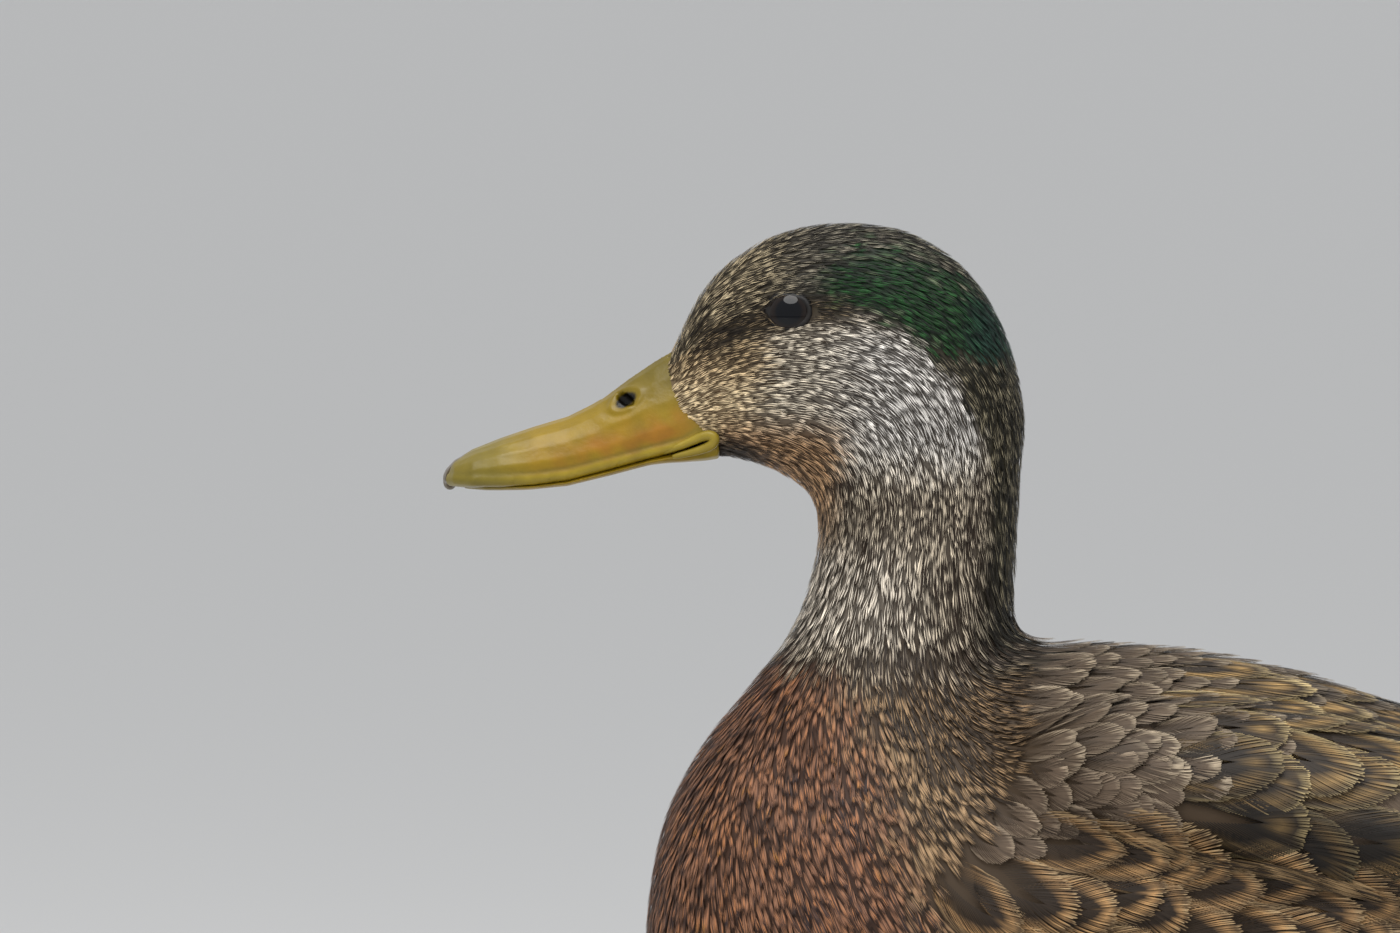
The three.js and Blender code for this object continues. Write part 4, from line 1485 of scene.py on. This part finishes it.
def bill_colour(at):
    over_mouth = at.up - edge_height(MOUTH_LINE, at.back)
    flesh = bump_at(over_mouth, 5.0, 3.0) * smoothstep(-60, -32, at.back) * (0.7 + 0.4 * ripple(at.p, 5, 42))
    layers = [
        ((92, 79, 14), smoothstep(-26, -12, at.up)),
        ((138, 86, 22), 0.8 * np.clip(flesh, 0, 0.85)),
        # painted highlight along the raised lip and painted shade in the shallow groove above it
        ((142, 126, 40), 0.6 * bump_at(over_mouth, 1.2, 0.8)),
        ((80, 68, 18), 0.6 * bump_at(over_mouth, 2.6, 0.5)),
        ((132, 116, 40), 0.6 * smoothstep(-24, -17, at.back)),
        ((98, 88, 28), 0.8 * smoothstep(-50, -64, at.back)),
        # painted shade: the inside of the nostril's hole near black
        ((10, 8, 6), smoothstep(1.1, 0.8, nostril_reach(at))),
        # painted shade in the slit of the mouth, between the upper and lower bill
        ((50, 42, 18), 0.7 * bump_at(over_mouth, -0.15, 0.3)),
    ]
    return layered(srgb(126, 102, 12), layers)


def add_gape(material):
    """The soft yellow fold that closes the corner of the mouth on each side."""
    path = rounded_path(GAPE_FOLD)
    left = []
    for back, up in path:
        half = np.interp(back, [-26, -21, -17, -14], [9.3, 9.5, 10.0, 10.6])
        left.append((EYE[0] + back, -half, EYE[2] + up))
    thick = 1.15 * np.sin(np.linspace(0.35, math.pi - 0.35, len(left)))
    for side, sign in SIDES.items():
        points, quads = tube(np.array(left) * (1, -sign, 1), thick, 10)
        add_painted(f"gape_{side}", points, quads, srgb(132, 114, 34), material)


def tube(path, radius, around):
    """A round tube along a path, open at its ends, as points and quads."""
    along = unit(np.gradient(path, axis=0))
    across = unit(np.cross(along, ACROSS))
    other = np.cross(along, across)
    roll = np.linspace(0, 2 * math.pi, around, endpoint=False)[None, :, None]
    ring = np.cos(roll) * across[:, None] + np.sin(roll) * other[:, None]
    points = path[:, None] + ring * np.asarray(radius).reshape(-1, 1, 1)
    return points.reshape(-1, 3), grid_faces(len(path), around)


def add_bill(material, nail_material):
    for name, grow in (("bill_upper", 0.25), ("bill_lower", 0.65)):
        points, quads, normals = smooth_copy([name], BILL_VOXEL, 5, grow)
        at = Place(points)
        over_mouth = at.up - edge_height(MOUTH_LINE, at.back)
        if name == "bill_upper":
            points = points + normals * bill_relief(at)[:, None]
            points[:, 2] -= 0.45 * smoothstep(1.6, 0.2, over_mouth)
        else:
            points[:, 2] -= 0.4 * np.minimum(over_mouth, 0) * smoothstep(-16, -30, at.back)
        add_painted(name + "_skin", points, quads, bill_colour(at), material, [name])
    points, quads, _ = smooth_copy(["bill_nail"], NAIL_VOXEL, 5)
    add_painted("nail", points, quads, srgb(70, 58, 36), nail_material, ["bill_nail"])


def horn_material(name, roughness, scale, depth):
    """Horn or leather: the painted colour, mottled, with a fine grain."""
    n = Nodes(name)
    colour = n.scaled(n.painted("tint"), n.math("MULTIPLY_ADD", n.noise(scale / 4, 4.0), 0.7, 0.65))
    bump = n.bump(n.noise(scale, 3.0), 0.35, depth)
    return n.finish(Base_Color=colour, Roughness=roughness, Normal=bump, Specular_IOR_Level=0.3)


# ------------------------------------------------------------------ eyes
PUPIL = math.radians(27)
IRIS = math.radians(50)
EYE_SHIFT = (0.6, 0.4, -1.4)  # how far the eyeball is moved back, inwards and up into its socket, in mm
GAZE = (-0.1, -1.0, 0.19)  # of the left eye
# The lids from their inner edge outwards: how far out, how far from eyeball to skin, how high over them.
LID_RINGS = [
    (-0.5, 0, -0.3), (-0.42, 0, 0.1), (-0.3, 0.2, 0.22), (-0.1, 0.6, 0.3), (0.2, 1, 0.3), (0.6, 1, 0),
    (1.1, 1, -0.6),
]
LID_STEPS = 64
BALL_RINGS, BALL_STEPS = 30, 48
CORNEA_RISE = 0.035  # over the eyeball's radius


def eye_frame(side):
    """The middle of the eyeball, the way it looks, and its forward and upward directions."""
    gaze = unit(np.array(GAZE) * (1, -SIDES[side], 1))
    up = laid_flat(UP, gaze)
    middle = centre(f"eye_{side}") + np.array(EYE_SHIFT) * (1, -SIDES[side], 1)
    return middle, gaze, -SIDES[side] * np.cross(gaze, up), up


def grid_faces(rows, columns):
    """Quads over a grid of points, row by row, closed round each row."""
    r, c = np.meshgrid(np.arange(rows - 1), np.arange(columns), indexing="ij")
    following = (c + 1) % columns
    quads = [r * columns + c, r * columns + following, (r + 1) * columns + following, (r + 1) * columns + c]
    return np.stack([q.ravel() for q in quads], axis=1)


def outwards(quads, side):
    """The faces of a mirrored piece, turned over on the right side."""
    return quads if side == "left" else quads[:, ::-1]


def add_eye(side, material):
    middle, gaze, forward, up = eye_frame(side)
    angle = np.linspace(0.001, math.pi - 0.001, BALL_RINGS)[:, None]
    turn = np.linspace(0, 2 * math.pi, BALL_STEPS, endpoint=False)[None]
    flat = np.cos(turn)[..., None] * forward + np.sin(turn)[..., None] * up
    cornea = 1 + CORNEA_RISE * np.exp(-((angle / IRIS) ** 4))
    way = np.cos(angle)[..., None] * gaze + np.sin(angle)[..., None] * flat
    points = (middle + EYE_RADIUS * cornea[..., None] * way).reshape(-1, 3)
    quads = outwards(grid_faces(BALL_RINGS, BALL_STEPS), side)
    of_point = np.repeat(angle.ravel(), BALL_STEPS)
    iris = ((20, 13, 10), smoothstep(PUPIL - 0.04, PUPIL + 0.04, of_point))
    rim = ((12, 8, 6), smoothstep(IRIS - 0.15, IRIS, of_point))
    colour = layered(srgb(3, 4, 8), [iris, rim])
    add_painted(f"eyeball_{side}", points, quads, colour, material, [f"eye_{side}"])


def lid_ring(skin, out, share, rise):
    """A ring round the left eye's opening, between the eyeball and the skin."""
    turn = np.linspace(0, 2 * math.pi, LID_STEPS, endpoint=False)
    back = (EYE_OPENING[0] + out) * np.cos(turn)
    up = (EYE_OPENING[1] + out) * np.sin(turn) - EYE_DROP
    ring = beside(skin, np.column_stack([back, up]))[:LID_STEPS]
    middle = eye_frame("left")[0]
    flat = ring - middle
    ball = middle[1] - np.sqrt(np.maximum(EYE_RADIUS**2 - flat[:, 0] ** 2 - flat[:, 2] ** 2, 0))
    ring[:, 1] = mix(ball, ring[:, 1], share) - rise
    return ring


def add_lids(side, skin, material):
    """A narrow ring of bare skin round the opening, rolled in at its edge and sunk under the feathers."""
    points = np.concatenate([lid_ring(skin, *ring) for ring in LID_RINGS])
    quads = outwards(grid_faces(len(LID_RINGS), LID_STEPS), side)
    upper = smoothstep(-0.4, 0.5, np.sin(np.linspace(0, 2 * math.pi, LID_STEPS, endpoint=False)))
    colour = np.tile(layered(srgb(20, 16, 14), [((12, 10, 9), upper)]), (len(LID_RINGS), 1))
    points = points * (1, -SIDES[side], 1)
    add_painted(f"lids_{side}", points, quads, colour, material)


# ------------------------------------------------------------------ legs
LEG_VOXEL = 0.75
ANKLE = (-15.0, 29.0)  # where the toes meet, from the mid-plane
TOE_REACH = [(-31, 45), (2, 46), (36, 36)]  # degrees out from straight ahead, and mm to the claw


def add_leg(side, material):
    names = [f"tarsus_{side}", f"foot_{side}"]
    points, quads, _ = smooth_copy(names, LEG_VOXEL, 4, grow=0.2)
    ankle = np.array([ANKLE[0], SIDES[side] * ANKLE[1]])
    flat = points[:, :2] - ankle
    reach = np.hypot(*flat.T)
    turn = np.degrees(np.arctan2(flat[:, 1] * -SIDES[side], -flat[:, 0]))
    height = points[:, 2]
    mottle = 0.5 + 0.5 * ripple(points, 6, 61)
    web = smoothstep(14, 20, reach) * smoothstep(3.4, 2.0, height)
    claw = smoothstep(-0.5, 0.8, reach - edge_height(TOE_REACH, turn)) * (height < 8)
    layers = [((176, 80, 24), mottle), ((150, 74, 30), 0.6 * web), ((40, 34, 28), claw)]
    colour = layered(srgb(206, 104, 30), layers)
    add_painted(f"leg_{side}", points, quads, colour, material, names)


def scute_material(name):
    """Scaly skin: small plates, lighter in their middles, with dark seams."""
    n = Nodes(name)
    place = n.add("ShaderNodeTexCoord").outputs["Object"]
    plates = n.add("ShaderNodeTexVoronoi", {"Vector": place, "Scale": 700.0}, feature="DISTANCE_TO_EDGE")
    seam = n.ramp(plates.outputs["Distance"], 0.0, 0.12)
    colour = n.scaled(n.painted("tint"), n.math("MULTIPLY_ADD", seam, 0.45, 0.62))
    return n.finish(Base_Color=colour, Roughness=0.45, Normal=n.bump(seam, 0.6, 0.0004))


def eye_material(name):
    n = Nodes(name)
    colour = n.scaled(n.painted("tint"), n.math("MULTIPLY_ADD", n.noise(1500.0, 3.0), 0.8, 0.6))
    return n.finish(Base_Color=colour, Roughness=0.05, Specular_IOR_Level=0.22)


# ------------------------------------------------------------------ build
SOCKET_DEPTH = 3.0


def with_sockets(p):
    """The skin pressed in behind the lids, where the eyeballs show."""
    depth = SOCKET_DEPTH * (1 - smoothstep(0.85, 1.2, from_eye(Place(p))))
    return p - np.sign(p) * (0, 1, 0) * depth[:, None]


def add_skin(skin, material):
    dark, pale, share = plumage(skin.points)
    # painted shade: the skin is painted close to the feathers' dark colour, so the gaps between the feathers
    # show as shadow
    tint = mix(dark, pale, 0.15 * (1 - share))
    points = with_sockets(skin.points)
    piece = add_painted("skin", points, skin.quads, tint, material, FLESH)
    bake_map(piece.data, bake_places(skin.points))


def main():
    make_camera()
    make_stage()
    skin = Skin()
    field = Field(skin)
    soft = coat_material("soft_feather")
    add_skin(skin, coat_material("skin"))
    for seed, name in enumerate(SOFT_COATS):
        add_soft_coat(name, skin, field, soft, 100 + 10 * seed)
    for seed, name in enumerate(BARRED_COATS):
        add_barred_coat(name, skin, field, soft, 200 + 10 * seed)
    add_flank_edge(skin, field, soft)
    vane = vane_material("vane")
    for name in FOLDED_WING:
        add_folded(name, skin, field, vane)
    add_primaries(vane)
    add_coverts(skin, soft)
    add_tail(vane)
    add_curl(vane)
    horn = horn_material("bill_horn", 0.4, 900.0, 0.0002)
    add_bill(horn, horn_material("nail_horn", 0.3, 1200.0, 0.0001))
    add_gape(horn)
    eye, scutes = eye_material("eye"), scute_material("scutes")
    lid = horn_material("lid", 0.5, 2500.0, 0.0001)
    for side in SIDES:
        add_eye(side, eye)
        add_lids(side, skin, lid)
        add_leg(side, scutes)


main()
